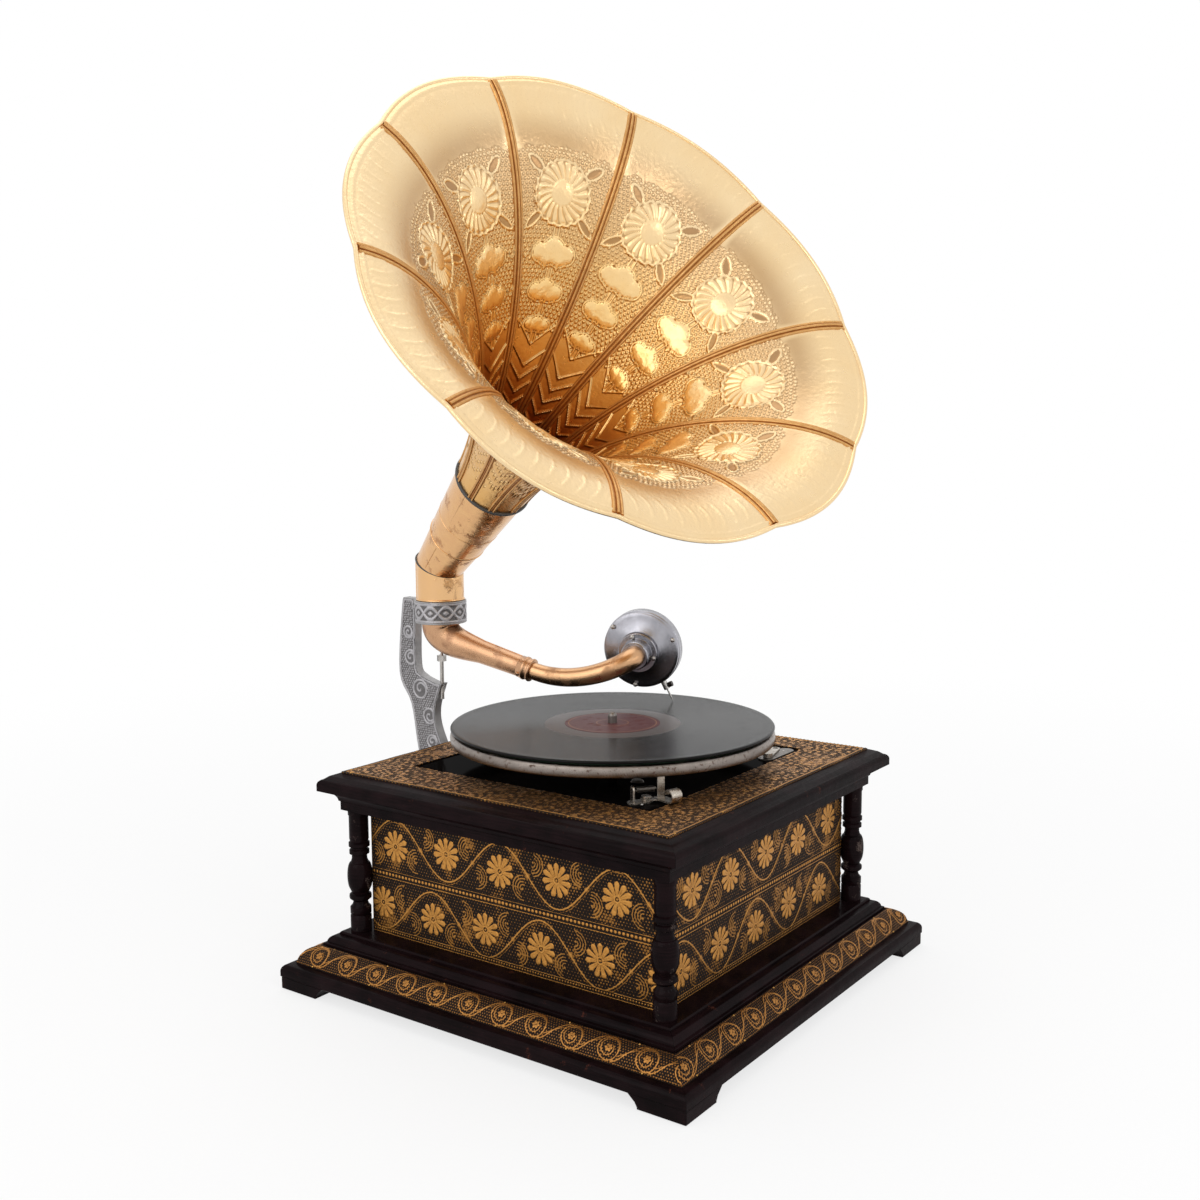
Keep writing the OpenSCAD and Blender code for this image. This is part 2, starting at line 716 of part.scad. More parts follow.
brake_axis = deck_front_left + [21, 18];
brake_pin_r = 2;
shoe = brake_axis + [7, -8];
tab = brake_axis + [-9, 5];
brake_z = board_top_z;
brake_t = 1.2;
tab_h = 9.5;
spring_z = board_top_z + tab_h;
rim_inner_r = record_r - 1 - platter_wall;
pad_t = 1.3;
shoe_r = rim_inner_r - seat - pad_t - brake_t / 2;
shoe_turn = atan2(shoe[1], shoe[0]);
shoe_at = shoe_r * [cos(shoe_turn), sin(shoe_turn)];
upright_half = 2.6;
spring_turn = atan2(shoe_at[1] - tab[1], shoe_at[0] - tab[0]);

// A flat strip between two points with round ends.
module strap(from, to, w, h) {
    hull() for (p = [from, to]) translate(p) cylinder(r = w / 2, h = h, $fn = 32);
}

module brake_plate() {
    color("#a9a39b") {
        translate([0, 0, brake_z]) strap(tab, brake_axis, 9, brake_t);
        translate([tab[0], tab[1], brake_z]) rotate(spring_turn) difference() {
            union() {
                translate([-brake_t, -3.5, 0]) cube([brake_t, 7, tab_h]);
                translate([-brake_t, 0, tab_h]) rotate([0, 90, 0])
                    cylinder(r = 3.5, h = brake_t, $fn = 32);
            }
            translate([-brake_t - 1, 0, tab_h + 2]) rotate([0, 90, 0])
                cylinder(r = 0.8, h = brake_t + 2, $fn = 32);
        }
        // pivot with a broad head
        translate([brake_axis[0], brake_axis[1], board_z]) cylinder(r = brake_pin_r, h = motor_board_t + 3.4);
        translate([brake_axis[0], brake_axis[1], brake_z + 2 * brake_t + 0.5])
            cylinder(r = 3.6, h = 1.6, $fn = 32);
    }
}

finger_r = 5;
finger_w = 9;
finger_step = 0.1;
lever_z = brake_z + brake_t + 0.15;
finger_foot = brake_axis + [3.5, -20];

module brake_lever() {
    d = finger_foot - shoe_at;
    color("#8f8780") {
        difference() {
            translate([0, 0, lever_z]) strap(brake_axis, shoe_at, 8, brake_t);
            translate([brake_axis[0], brake_axis[1], lever_z - 1])
                cylinder(r = brake_pin_r + shaft_clear, h = brake_t + 2, $fn = 32);
        }
        // upright arm that carries the pad
        rotate(shoe_turn) translate([shoe_r - brake_t / 2, -upright_half, lever_z])
            cube([brake_t, 2 * upright_half, platter_top - platter_wall - seat - 1 - lever_z]);
        // finger strip, set up a hair from the lever and curled at its end
        translate([finger_foot[0], finger_foot[1], lever_z + finger_r + finger_step])
            rotate(atan2(d[1], d[0])) rotate([90, 0, 0]) translate([0, 0, -finger_w / 2])
                linear_extrude(finger_w) polygon(concat(
                    [[-norm(d), -finger_r]],
                    arc([0, 0], finger_r, -90, 170, 16),
                    arc([0, 0], finger_r - brake_t, 170, -90, 16),
                    [[-norm(d), brake_t - finger_r]]));
    }
}

module brake_pad() {
    h = 5.5;
    color("#6b4a2f") rotate(shoe_turn)
        translate([shoe_r + brake_t / 2, -2.4, platter_top - platter_h + 1.5])
            cube([pad_t - 0.02, 4.8, h - 1.6]);
}

// Tension spring between the plate's tab and the shoe arm: one unbroken tube
coil_curls = 14;
coil_r = 1.95;
wire_r = 0.25;
coil_pitch = 0.95;
curl_rings = 8;
spring_sides = 6;
spring_from = [tab[0], tab[1], spring_z];
// it ends at the upright's side
spring_len = norm(shoe_at - tab) - upright_half - 0.02;
lead = (spring_len - coil_curls * coil_pitch) / 2;
straight = 4 * wire_r;

// The wire's middle line along X. Each lead winds out from the axis in one curl.
function wire_point(curl) =
    let (
        f = min(1, curl, coil_curls + 2 - curl),
        lift = coil_r * (1 - cos(180 * f)) / 2,
        along = curl < 1 ? straight + (lead - straight) * curl
            : curl > coil_curls + 1 ? lead + coil_curls * coil_pitch + (lead - straight) * (curl - coil_curls - 1)
            : lead + coil_pitch * (curl - 1))
    [along, lift * cos(360 * curl), lift * sin(360 * curl)];

wire_path = concat([[0, 0, 0], [straight / 2, 0, 0]],
    [for (i = [0:curl_rings * (coil_curls + 2)]) wire_point(i / curl_rings)],
    [[spring_len - straight / 2, 0, 0], [spring_len, 0, 0]]);

// Least gap between the wire and itself, a good part of a curl or more apart
wire_gap = min([for (i = [0:len(wire_path) - 1], j = [i + 5:1:min(i + 20, len(wire_path) - 1)])
    norm(wire_path[i] - wire_path[j])]) - 2 * wire_r;
echo(brake_spring_gap = wire_gap);

module brake_spring() {
    color("#9a9a9d") translate(spring_from) rotate(spring_turn)
        rod(wire_path, [for (p = wire_path) wire_r], spring_sides, [0.13, 0.4, 1]);
}

// Speed control: a plate with a lever on the motor board, and a friction arm below it

speed_axis = deck_front_right + [-41, 9];
speed_shaft_r = 2.5;
pad_y = worm_y - 8;
pad_x = disc_x + 1.5 + seat;
friction_pad_t = 2.5;

module speed_plate() {
    color("#a39d95") difference() {
        translate([0, 0, board_top_z]) strap(speed_axis - [2, 0], speed_axis + [30, 0], 13, 1);
        translate([speed_axis[0], speed_axis[1], board_top_z - 1])
            cylinder(r = speed_shaft_r + shaft_clear, h = 3, $fn = 32);
    }
}

module speed_lever() {
    arm_end = [pad_x + friction_pad_t, pad_y];
    tip = speed_axis + [26, 7];
    color("#8d8780") {
        translate([speed_axis[0], speed_axis[1], worm_z - 3])
            cylinder(r = speed_shaft_r, h = board_top_z + 3 - worm_z + 3, $fn = 32);
        translate([speed_axis[0], speed_axis[1], board_top_z + 2.6]) cylinder(r = 4, h = 2, $fn = 32);
        translate([0, 0, board_top_z + 1 + 0.3]) difference() {
            strap(speed_axis, tip, 7, 1.2);
            translate([tip[0], tip[1], -1]) cylinder(r = 2.2, h = 4, $fn = 32);
        }
        // arm under the board, ending in an upright that holds the pad
        translate([0, 0, worm_z - 3]) strap(speed_axis, arm_end + [1.5, -9], 6, 2);
        translate([arm_end[0], arm_end[1] - 10, worm_z - 3]) cube([1.5, 13, 7]);
    }
}

module friction_pad() {
    color("#5d4130") translate([pad_x, pad_y - 2.5, worm_z - 2.5])
        cube([friction_pad_t - 0.02, 5, 6]);
}

// Horn bracket: a cast arm that stands on the back of the case and carries a ring

bracket_t = 8;
bracket_foot_t = 8;
bracket_foot_w = 40;
foot_low = top_z - 72;
foot_high = top_z - 12;
ring_bore_r = 17.65;
shelf_z = record_z + 13;
foot_y = case_half + sheet_t;

// A smooth line through the points.
function smooth(p, n = 5) = concat(
    [for (i = [0:len(p) - 2], k = [0:n - 1]) let (
        t = k / n,
        a = p[max(i - 1, 0)],
        b = p[i],
        c = p[i + 1],
        d = p[min(i + 2, len(p) - 1)])
        0.5 * (2 * b + (c - a) * t + (2 * a - 5 * b + 4 * c - d) * t ^ 2
            + (3 * b - a - 3 * c + d) * t ^ 3)],
    [p[len(p) - 1]]);

module horn_bracket() {
    // the arm's outline in the plane of the pivot: first number behind the pivot, second height
    back = smooth([
        [38, ring_z + ring_h], [41.5, ring_z + ring_h - 7], [46.4, shelf_z + 6],
        [33, shelf_z - 21], [26, shelf_z - 59], [18, shelf_z - 76],
        [foot_y + bracket_foot_t - pivot_y - 4, foot_low + 14]]);
    front = smooth([
        [foot_y + bracket_foot_t - pivot_y - 4, foot_high - 10], [-16, top_z - 4],
        [-3, shelf_z - 54], [4.6, shelf_z - 36], [5, shelf_z - 21], [-1.6, shelf_z - 2]]);
    notch = smooth([[4.8, shelf_z], [20, shelf_z + 5], [26.6, shelf_z + 14], [26, ring_z]]);
    color("#9d9ba3") difference() {
        union() {
            translate([-bracket_t / 2, pivot_y, 0]) rotate([90, 0, 90]) linear_extrude(bracket_t)
                polygon(concat(back, front, [[-2.6, shelf_z]], notch,
                    [[ring_r - 6, ring_z], [ring_r - 6, ring_z + ring_h]]));
            translate([0, pivot_y, ring_z]) cylinder(r = ring_r, h = ring_h, $fn = 64);
            translate([-bracket_foot_w / 2, foot_y, foot_low])
                cube([bracket_foot_w, bracket_foot_t, foot_high - foot_low]);
        }
        translate([0, pivot_y, ring_z - 1]) cylinder(r = ring_bore_r, h = ring_h + 2, $fn = 64);
        translate([0, pivot_y, shelf_z - 20]) cylinder(r = pivot_screw_r + shaft_clear, h = 24, $fn = 32);
        bracket_screw_holes(0.15);
    }
}

screw_r = 2;

module bracket_screw_holes(extra = joint_gap) {
    for (x = [-14, 14], z = [foot_low + 8, foot_high - 8])
        translate([x, foot_y + bracket_foot_t + 1, z]) rotate([90, 0, 0])
            cylinder(r = screw_r + extra, h = bracket_foot_t + sheet_t + wall_t, $fn = 32);
}

module bracket_screws() {
    color("#8a857f")
    for (x = [-14, 14], z = [foot_low + 8, foot_high - 8])
        translate([x, foot_y + bracket_foot_t, z]) rotate([90, 0, 0]) {
            cylinder(r = screw_r, h = bracket_foot_t + sheet_t + wall_t - 3, $fn = 32);
            translate([0, 0, -2.4]) cylinder(r1 = 3, r2 = 4.2, h = 2.4, $fn = 32);
        }
}

pivot_screw_r = 1.7;
// height of the elbow's underside over the pivot, above the record
elbow_low = ring_above_record - 26.2;
nut_h = 5;

module pivot_screw() {
    color("#a7a39c") translate([0, pivot_y, 0]) {
        translate([0, 0, shelf_z - 14])
            cylinder(r = pivot_screw_r, h = record_z + elbow_low - 3 - shelf_z + 14, $fn = 32);
        translate([0, 0, record_z + elbow_low - 3])
            cylinder(r1 = pivot_screw_r, r2 = 0.4, h = 3 - seat, $fn = 32);
    }
}

module pivot_nut() {
    color("#a7a39c") translate([0, pivot_y, record_z + elbow_low - 3.2 - nut_h]) difference() {
        cylinder(r = 4.1, h = nut_h, $fn = 6);
        translate([0, 0, -1]) cylinder(r = pivot_screw_r + 0.03, h = nut_h + 2, $fn = 32);
    }
}

// Rings of points round a path, with a radius at each of its points. The hint is a
// direction that is never along the path.
function rings(path, radii, sides, hint) =
    let (n = len(path))
    [for (i = [0:n - 1])
        let (
            d = path[min(i + 1, n - 1)] - path[max(i - 1, 0)],
            f = d / norm(d),
            h = hint - (hint * f) * f,
            a = h / norm(h),
            b = cross(f, a))
        for (j = [0:sides - 1]) let (t = 360 * j / sides)
            path[i] + radii[i] * (cos(t) * a + sin(t) * b)];

// The faces between neighbouring rings; the first point of the first ring has number start.
function ring_walls(n, sides, start = 0) = [for (i = [0:n - 2], j = [0:sides - 1]) let (
    p = start + i * sides + j,
    q = start + i * sides + (j + 1) % sides,
    r = p + sides,
    s = q + sides)
    each [[p, s, q], [p, r, s]]];

function flipped(faces) = [for (f = faces) [f[0], f[2], f[1]]];

module rod(path, radii, sides, hint) {
    n = len(path);
    last = (n - 1) * sides;
    ends = [for (j = [1:sides - 2]) each [[0, j, j + 1], [last, last + j + 1, last + j]]];
    polyhedron(rings(path, radii, sides, hint), concat(ring_walls(n, sides), ends), convexity = 6);
}

module tube(path, radii, wall, sides, hint) {
    n = len(path);
    inner = n * sides;
    last = (n - 1) * sides;
    ends = [for (j = [0:sides - 1]) let (k = (j + 1) % sides)
        each [[j, k, inner + k], [j, inner + k, inner + j],
            [last + j, inner + last + k, last + k],
            [last + j, inner + last + j, inner + last + k]]];
    polyhedron(
        concat(rings(path, radii, sides, hint), rings(path, [for (r = radii) r - wall], sides, hint)),
        concat(ring_walls(n, sides), flipped(ring_walls(n, sides, inner)), ends),
        convexity = 8);
}

// Tonearm. Its own frame has +X forward along the arm and its height from the record.

arm_drop = 15.2;
arm_bend_end = 40;
arm_sides = 28;
collar_len = 12;
arm_slope = [cos(arm_drop), 0, -sin(arm_drop)];
collar_end = [arm_len, 0, collar_above_record];
arm_neck_low = ring_above_record - 2.5;

module on_arm() translate([0, pivot_y, record_z]) rotate(arm_heading - 90) children();

function bezier(p, t) = (1 - t) ^ 3 * p[0] + 3 * t * (1 - t) ^ 2 * p[1]
    + 3 * t ^ 2 * (1 - t) * p[2] + t ^ 3 * p[3];

bend_to = collar_end - (arm_len - arm_bend_end) / cos(arm_drop) * arm_slope;
arm_bend = [[0, 0, arm_neck_low], [0, 0, arm_neck_low - 14], bend_to - 18 * arm_slope, bend_to];
arm_straight_end = collar_end - collar_len * arm_slope;
arm_bend_r = 9.8;
// The tube's top part is straight, and turns in the horn's spigot.
arm_path = concat(
    [[0, 0, arm_neck_low + ring_h - 1]],
    [for (i = [0:10]) bezier(arm_bend, i / 10)],
    [for (i = [1:3]) bend_to + (arm_straight_end - bend_to) * i / 3]);
arm_radii = concat(
    [arm_top_r],
    [for (i = [0:10]) arm_top_r + (arm_bend_r - arm_top_r) * (i / 10) ^ 1.2],
    [for (i = [1:3]) arm_bend_r + (arm_end_r - arm_bend_r) * i / 3]);

module tonearm() {
    color("#b77f4d") on_arm() tube(arm_path, arm_radii, tube_wall, arm_sides, [0, 1, 0]);
}

module on_collar() on_arm() translate(collar_end) rotate([0, 90 + arm_drop, 0]) children();

module arm_collar() {
    bore = gooseneck_r + shaft_clear;
    out = arm_end_r + 0.2;
    color("#b77f4d") on_collar() {
        rotate_extrude($fn = 64) polygon([
            [bore, -collar_len], [out, -collar_len], [out, -8], [out + 0.6, -7.4],
            [out + 0.6, -5.6], [out, -5], [out, -2.4], [out + 0.6, -1.8], [out + 0.6, -0.4],
            [out + 0.2, 0], [bore, 0]]);
        // small screw that holds the collar on the tube
        rotate(-60) translate([out - 0.4, 0, -9.6]) rotate([0, 90, 0])
            cylinder(r = 1.7, h = 1.6, $fn = 32);
    }
}

// Sound box. Its own frame has +Z out of its face and +X along the stylus bar.

box_forward = 167.9;
box_side = 47.2;
box_above_record = 46.7;
box_turn = 95;
box_tilt = 7;
stylus_lean = 25;
box_pos = [box_forward, box_side, box_above_record];
box_axis = [cos(box_tilt) * cos(box_turn), cos(box_tilt) * sin(box_turn), sin(box_tilt)];
socket_len = 12;
socket_z = -14.8;
gooseneck_end_r = 9;

module on_box() on_arm() translate(box_pos)
    rotate([0, 0, box_turn]) rotate([0, 90 - box_tilt, 0]) rotate(-stylus_lean) children();

neck_mouth = box_pos + (socket_z - socket_len) * box_axis;
neck_bend = [collar_end + 2 * arm_slope, collar_end + 45 * arm_slope,
    neck_mouth - 24 * box_axis, neck_mouth];
neck_steps = 14;
spigot_in_collar = 24;
neck_path = concat([collar_end - spigot_in_collar * arm_slope],
    [for (i = [0:neck_steps]) bezier(neck_bend, i / neck_steps)],
    [neck_mouth + (socket_len - 1) * box_axis]);
neck_radii = concat([gooseneck_r],
    [for (i = [0:neck_steps]) gooseneck_r + (gooseneck_end_r - gooseneck_r) * i / neck_steps],
    [gooseneck_end_r]);

module gooseneck() {
    color("#b77f4d") on_arm() tube(neck_path, neck_radii, tube_wall, 24, [0, 0, 1]);
}

box_back_z = -5;
hub_r = 17;
lip_r = box_r - 4;
gasket_in = lip_r - 3;
box_screw_r = 30.3 / 32.5 * box_r;

module soundbox_back() {
    color("#8e8c92") on_box() difference() {
        rotate_extrude($fn = 72) polygon([
            [6, socket_z + 0.8], [hub_r, socket_z + 0.8], [hub_r + 0.4, socket_z + 2],
            [box_r - 6, -9.2], [box_r - 1, -8], [box_r, -7], [box_r, box_back_z],
            [lip_r, box_back_z], [lip_r, -2], [gasket_in, -2], [gasket_in, -6],
            [hub_r - 1, -10], [6, -11]]);
        for (a = [0:120:240]) rotate(a + 35) translate([box_screw_r, 0, -9])
            cylinder(r = 1.05, h = 6, $fn = 32);
        for (a = [0:120:240]) rotate(a + 70) translate([hub_r - 2.6, 0, -18])
            cylinder(r = 1.05, h = 9, $fn = 32);
    }
}

module soundbox_flange() {
    bore = gooseneck_end_r + 0.1;
    color("#9a989e") on_box() difference() {
        rotate_extrude($fn = 64) polygon([
            [bore, socket_z - socket_len], [bore + 2.2, socket_z - socket_len],
            [bore + 2.8, socket_z - socket_len + 1], [bore + 2.8, socket_z - 5],
            [bore + 3.3, socket_z - 4.3], [bore + 3.3, socket_z - 2.6],
            [hub_r - 0.6, socket_z - 2.6], [hub_r, socket_z - 2], [hub_r, socket_z],
            [bore, socket_z]]);
        for (a = [0:120:240]) rotate(a + 70) translate([hub_r - 2.6, 0, socket_z - 4])
            cylinder(r = 1.05, h = 6, $fn = 32);
    }
}

module gaskets() {
    color("#141414") on_box() {
        difference() {
            translate([0, 0, socket_z + 0.02]) cylinder(r = hub_r - 0.3, h = 0.76, $fn = 64);
            translate([0, 0, socket_z - 1]) cylinder(r = 7, h = 3, $fn = 64);
            for (a = [0:120:240]) rotate(a + 70) translate([hub_r - 2.6, 0, socket_z - 1])
                cylinder(r = 1.05, h = 3, $fn = 32);
        }
        for (z = [-1.98, 0.32]) difference() {
            translate([0, 0, z]) cylinder(r = lip_r - 0.2, h = 1.96, $fn = 64);
            translate([0, 0, z - 1]) cylinder(r = gasket_in, h = 4, $fn = 64);
        }
    }
}

stylus_z = 7.2;
stylus_pivot_r = 0.9;
pivot_x = box_r - 3;

module soundbox_ring() {
    color("#a3a1a7") on_box() difference() {
        union() {
            rotate_extrude($fn = 72) polygon([
                [lip_r + 0.02, box_back_z], [box_r, box_back_z], [box_r + 0.5, box_back_z + 1],
                [box_r + 0.5, 3.5], [box_r - 0.5, 4.6], [gasket_in, 4.6], [gasket_in, 2.3],
                [lip_r + 0.02, 2.3]]);
            // two ears that hold the stylus bar's pivot
            for (y = [-5.4, 3.4]) translate([pivot_x - 2.4, y, 4.4]) cube([4.8, 2, stylus_z - 2.6]);
        }
        translate([pivot_x, -8, stylus_z]) rotate([-90, 0, 0])
            cylinder(r = stylus_pivot_r + shaft_clear, h = 16, $fn = 32);
        for (a = [0:120:240]) rotate(a + 35) translate([box_screw_r, 0, -9])
            cylinder(r = 1.05, h = 10, $fn = 32);
    }
}

module diaphragm() {
    color("#c9c4b4") on_box() cylinder(r = lip_r - 0.4, h = 0.3, $fn = 64);
}

module soundbox_screws() {
    color("#bdbbc0") on_box() {
        for (a = [0:120:240]) rotate(a + 35) translate([box_screw_r, 0, 0]) {
            translate([0, 0, -9]) cylinder(r = 1, h = 9, $fn = 32);
            translate([0, 0, -10.25]) cylinder(r = 1.9, h = 1.4, $fn = 32);
        }
        for (a = [0:120:240]) rotate(a + 70) translate([hub_r - 2.6, 0, 0]) {
            translate([0, 0, socket_z - 2.6]) cylinder(r = 1, h = 6, $fn = 32);
            translate([0, 0, socket_z - 4]) cylinder(r = 1.8, h = 1.4, $fn = 32);
        }
    }
}

bar_t = 2.2;
holder_from = box_r + 1.2;
holder_to = box_r + 9;
holder_r = 2.6;
needle_r = 0.75;
needle_gap = 0.15;
// the needle is as long as it takes to reach the record
needle_tip = (box_above_record + stylus_z * sin(box_tilt) - needle_gap)
    / (cos(stylus_lean) * cos(box_tilt));

module stylus_bar() {
    color("#b3b1b6") on_box() difference() {
        union() {
            translate([-2, -1.8, stylus_z - bar_t / 2]) cube([holder_from + 3, 3.6, bar_t]);
            translate([0, 0, 0.3 + seat]) cylinder(r = 1.2, h = stylus_z - 0.3 - seat, $fn = 32);
            translate([holder_from, 0, stylus_z]) rotate([0, 90, 0])
                cylinder(r = holder_r, h = holder_to - holder_from, $fn = 32);
            translate([pivot_x, -5.2, stylus_z]) rotate([-90, 0, 0])
                cylinder(r = stylus_pivot_r, h = 10.4, $fn = 32);
        }
        translate([holder_from + 1, 0, stylus_z]) rotate([0, 90, 0])
            cylinder(r = needle_r + 0.05, h = 12, $fn = 32);
        translate([holder_to - 2.8, 0, stylus_z]) rotate([90, 0, 0])
            cylinder(r = 0.9 + shaft_clear, h = 6, $fn = 32);
    }
}

module needle() {
    color("#c8c6c4") on_box() translate([0, 0, stylus_z]) rotate([0, 90, 0]) {
        translate([0, 0, holder_from + 2]) cylinder(r = needle_r, h = needle_tip - 4 - holder_from - 2, $fn = 32);
        translate([0, 0, needle_tip - 4]) cylinder(r1 = needle_r, r2 = 0.15, h = 4, $fn = 32);
    }
}

module needle_screw() {
    color("#2b2b2d") on_box() translate([holder_to - 2.8, 0, stylus_z]) rotate([90, 0, 0]) {
        translate([0, 0, needle_r + 0.1]) cylinder(r = 0.9, h = 4.4, $fn = 32);
        translate([0, 0, holder_r + 0.5]) cylinder(r = 2.3, h = 3.2, $fn = 32);
    }
}

// Horn. Its own frame has its origin in the elbow and +X below the horn's middle line.

horn_heading = -109.8;
horn_rise = 39.5;
mouth_rise = 35.1;
horn_first = 162.6;
horn_second = 181.1;
horn_len = horn_first + horn_second;
seam_phase = 29.8;
flare_handle = 109;
flare_rise = 7;
rim_handle = 68;
rim_angle = 86.1;
elbow_z = ring_z + ring_h + elbow_above_ring;

module on_horn() translate([0, pivot_y, elbow_z]) rotate(horn_heading) children();

// The middle line is bent a little: control points in the plane of the horn.
line_knee = horn_first * [cos(horn_rise), 0, sin(horn_rise)];
line_end = line_knee + horn_second * [cos(mouth_rise), 0, sin(mouth_rise)];
function centre(t) = 2 * t * (1 - t) * line_knee + t ^ 2 * line_end;
function heading(t) = let (d = (1 - t) * line_knee + t * (line_end - line_knee)) d / norm(d);

// The flare's profile: distance along the middle line and radius.
flare = [
    [neck_len, neck_end_r],
    [neck_len + flare_handle, neck_end_r + flare_rise],
    [horn_len - rim_handle * cos(rim_angle), mouth_r - rim_handle * sin(rim_angle)],
    [horn_len, mouth_r]];
function profile(w) = bezier(flare, w);
function profile_out(w) = let (d = profile(min(w + 0.01, 1)) - profile(max(w - 0.01, 0)))
    [-d[1], d[0]] / norm(d);

// A point of the sheet metal at a place along the flare, an angle round it and a depth.
function horn_point(w, angle, depth) =
    let (
        p = profile(w) + depth * profile_out(w),
        lobe = 1 + petal_bulge / mouth_r * abs(sin(petals / 2 * (angle - seam_phase))) * w ^ 2,
        t = p[0] / horn_len,
        f = heading(t))
    centre(t) + p[1] * lobe * (cos(angle) * [0, 1, 0] + sin(angle) * [-f[2], 0, f[0]]);

seam_half = 2.2;
seam_lift = 0.9;
horn_steps = 14;
petal_steps = 6;
function seam_angle(w, extra = 0) = (seam_half + extra) / profile(w)[1] * 180 / PI;

// A curved plate given by its grid of points on both faces.
module plate(inner, outer) {
    n = len(inner) - 1;
    m = len(inner[0]) - 1;
    row = m + 1;
    all = (n + 1) * row;
    points = concat([for (line = inner) each line], [for (line = outer) each line]);
    faces = [for (i = [0:n - 1], j = [0:m - 1]) let (
        a = i * row + j,
        b = a + 1,
        c = a + row,
        d = c + 1)
        each [[a, b, d], [a, d, c], [a + all, d + all, b + all], [a + all, c + all, d + all]]];
    sides = [for (i = [0:n - 1]) let (a = i * row, c = a + row, e = a + m, g = c + m)
        each [[a, c + all, a + all], [a, c, c + all], [e, e + all, g + all], [e, g + all, g]]];
    ends = [for (j = [0:m - 1]) let (a = j, b = a + 1, c = n * row + j, d = c + 1)
        each [[a, b + all, b], [a, a + all, b + all], [c, d, d + all], [c, d + all, c + all]]];
    polyhedron(points, concat(faces, sides, ends), convexity = 6);
}

module horn_petals() {
    step = 360 / petals;
    color("#d9ab62") on_horn() for (k = [0:petals - 1]) {
        grid = [for (depth = [0, horn_t]) [for (i = [0:horn_steps]) let (
            w = i / horn_steps,
            edge = seam_angle(w, 0.05))
            [for (j = [0:petal_steps])
                horn_point(w, seam_phase + k * step + edge + (step - 2 * edge) * j / petal_steps, depth)]]];
        plate(grid[0], grid[1]);
    }
}

module horn_seams() {
    step = 360 / petals;
    color("#c08a48") on_horn() for (k = [0:petals - 1]) {
        grid = [for (depth = [-seam_lift, horn_t + seam_lift]) [for (i = [0:horn_steps]) let (
            w = i / horn_steps,
            edge = seam_angle(w))
            [for (j = [-1, 1]) horn_point(w, seam_phase + k * step + edge * j, depth)]]];
        plate(grid[0], grid[1]);
    }
}

bead_r = 1.6;
bead_sides = 6;
rim_steps = 8;

module horn_rim() {
    count = petals * rim_steps;
    middle = [for (i = [0:count - 1]) let (a = seam_phase + 360 * i / count)
        horn_point(1, a, horn_t / 2) + (bead_r + 0.05) * rim_out(a)];
    points = [for (i = [0:count - 1]) let (
        d = middle[(i + 1) % count] - middle[(i + count - 1) % count],
        f = d / norm(d),
        a = heading(1),
        b = cross(f, a))
        for (j = [0:bead_sides - 1]) let (t = 360 * j / bead_sides)
            middle[i] + bead_r * (cos(t) * a + sin(t) * b)];
    walls = [for (f = ring_walls(count + 1, bead_sides)) [for (p = f) p % (count * bead_sides)]];
    color("#e0b873") on_horn() polyhedron(points, walls, convexity = 6);
}
function rim_out(a) = let (f = heading(1)) cos(a) * [0, 1, 0] + sin(a) * [-f[2], 0, f[0]];

// Neck and socket, joined in a mitre at the elbow

neck_t0 = neck_len / horn_len;
neck_top = centre(neck_t0);
neck_dir = heading(neck_t0);
neck_rise = asin(neck_dir[2]);
neck_run = neck_top[0] / neck_dir[0];
mitre_z = neck_top[2] - neck_run * neck_dir[2];
lap_run = 42;

// Everything above the mitre between the socket and the neck.
module above_mitre(gap) {
    size = 140;
    translate([0, 0, mitre_z]) rotate([0, (90 - neck_rise) / 2, 0])
        translate([-size / 2, -size / 2, gap]) cube(size);
}

module horn_neck() {
    grow = (neck_end_r + horn_t - socket_r) / neck_run;
    back = 26;
    color("#c99a5a") on_horn() intersection() {
        above_mitre(0.03);
        translate([0, 0, mitre_z]) rotate([0, 90 - neck_rise, 0])
            for (part = [[-back, lap_run - 0.05], [lap_run + 0.05, neck_run - 0.05]]) difference() {
                translate([0, 0, part[0]])
                    cylinder(r1 = socket_r + grow * part[0], r2 = socket_r + grow * part[1],
                        h = part[1] - part[0], $fn = 72);
                translate([0, 0, part[0] - 0.01])
                    cylinder(r1 = socket_r + grow * part[0] - horn_t, r2 = socket_r + grow * part[1] - horn_t,
                        h = part[1] - part[0] + 0.02, $fn = 72);
            }
    }
}

spigot_r = ring_bore_r - shaft_clear;
spigot_len = 13;

module horn_socket() {
    low = -elbow_above_ring + seat;
    color("#c99a5a") on_horn() {
        difference() {
            translate([0, 0, low]) cylinder(r = socket_r, h = 60, $fn = 72);
            translate([0, 0, low + 1.2]) cylinder(r = socket_r - horn_t, h = 60, $fn = 72);
            translate([0, 0, low - 1]) cylinder(r = arm_top_r + shaft_clear, h = 4, $fn = 64);
            above_mitre(-0.03);
        }
        difference() {
            translate([0, 0, low - spigot_len]) cylinder(r = spigot_r, h = spigot_len + 0.5, $fn = 64);
            translate([0, 0, low - spigot_len - 1])
                cylinder(r = arm_top_r + shaft_clear, h = spigot_len + 3, $fn = 64);
        }
    }
}

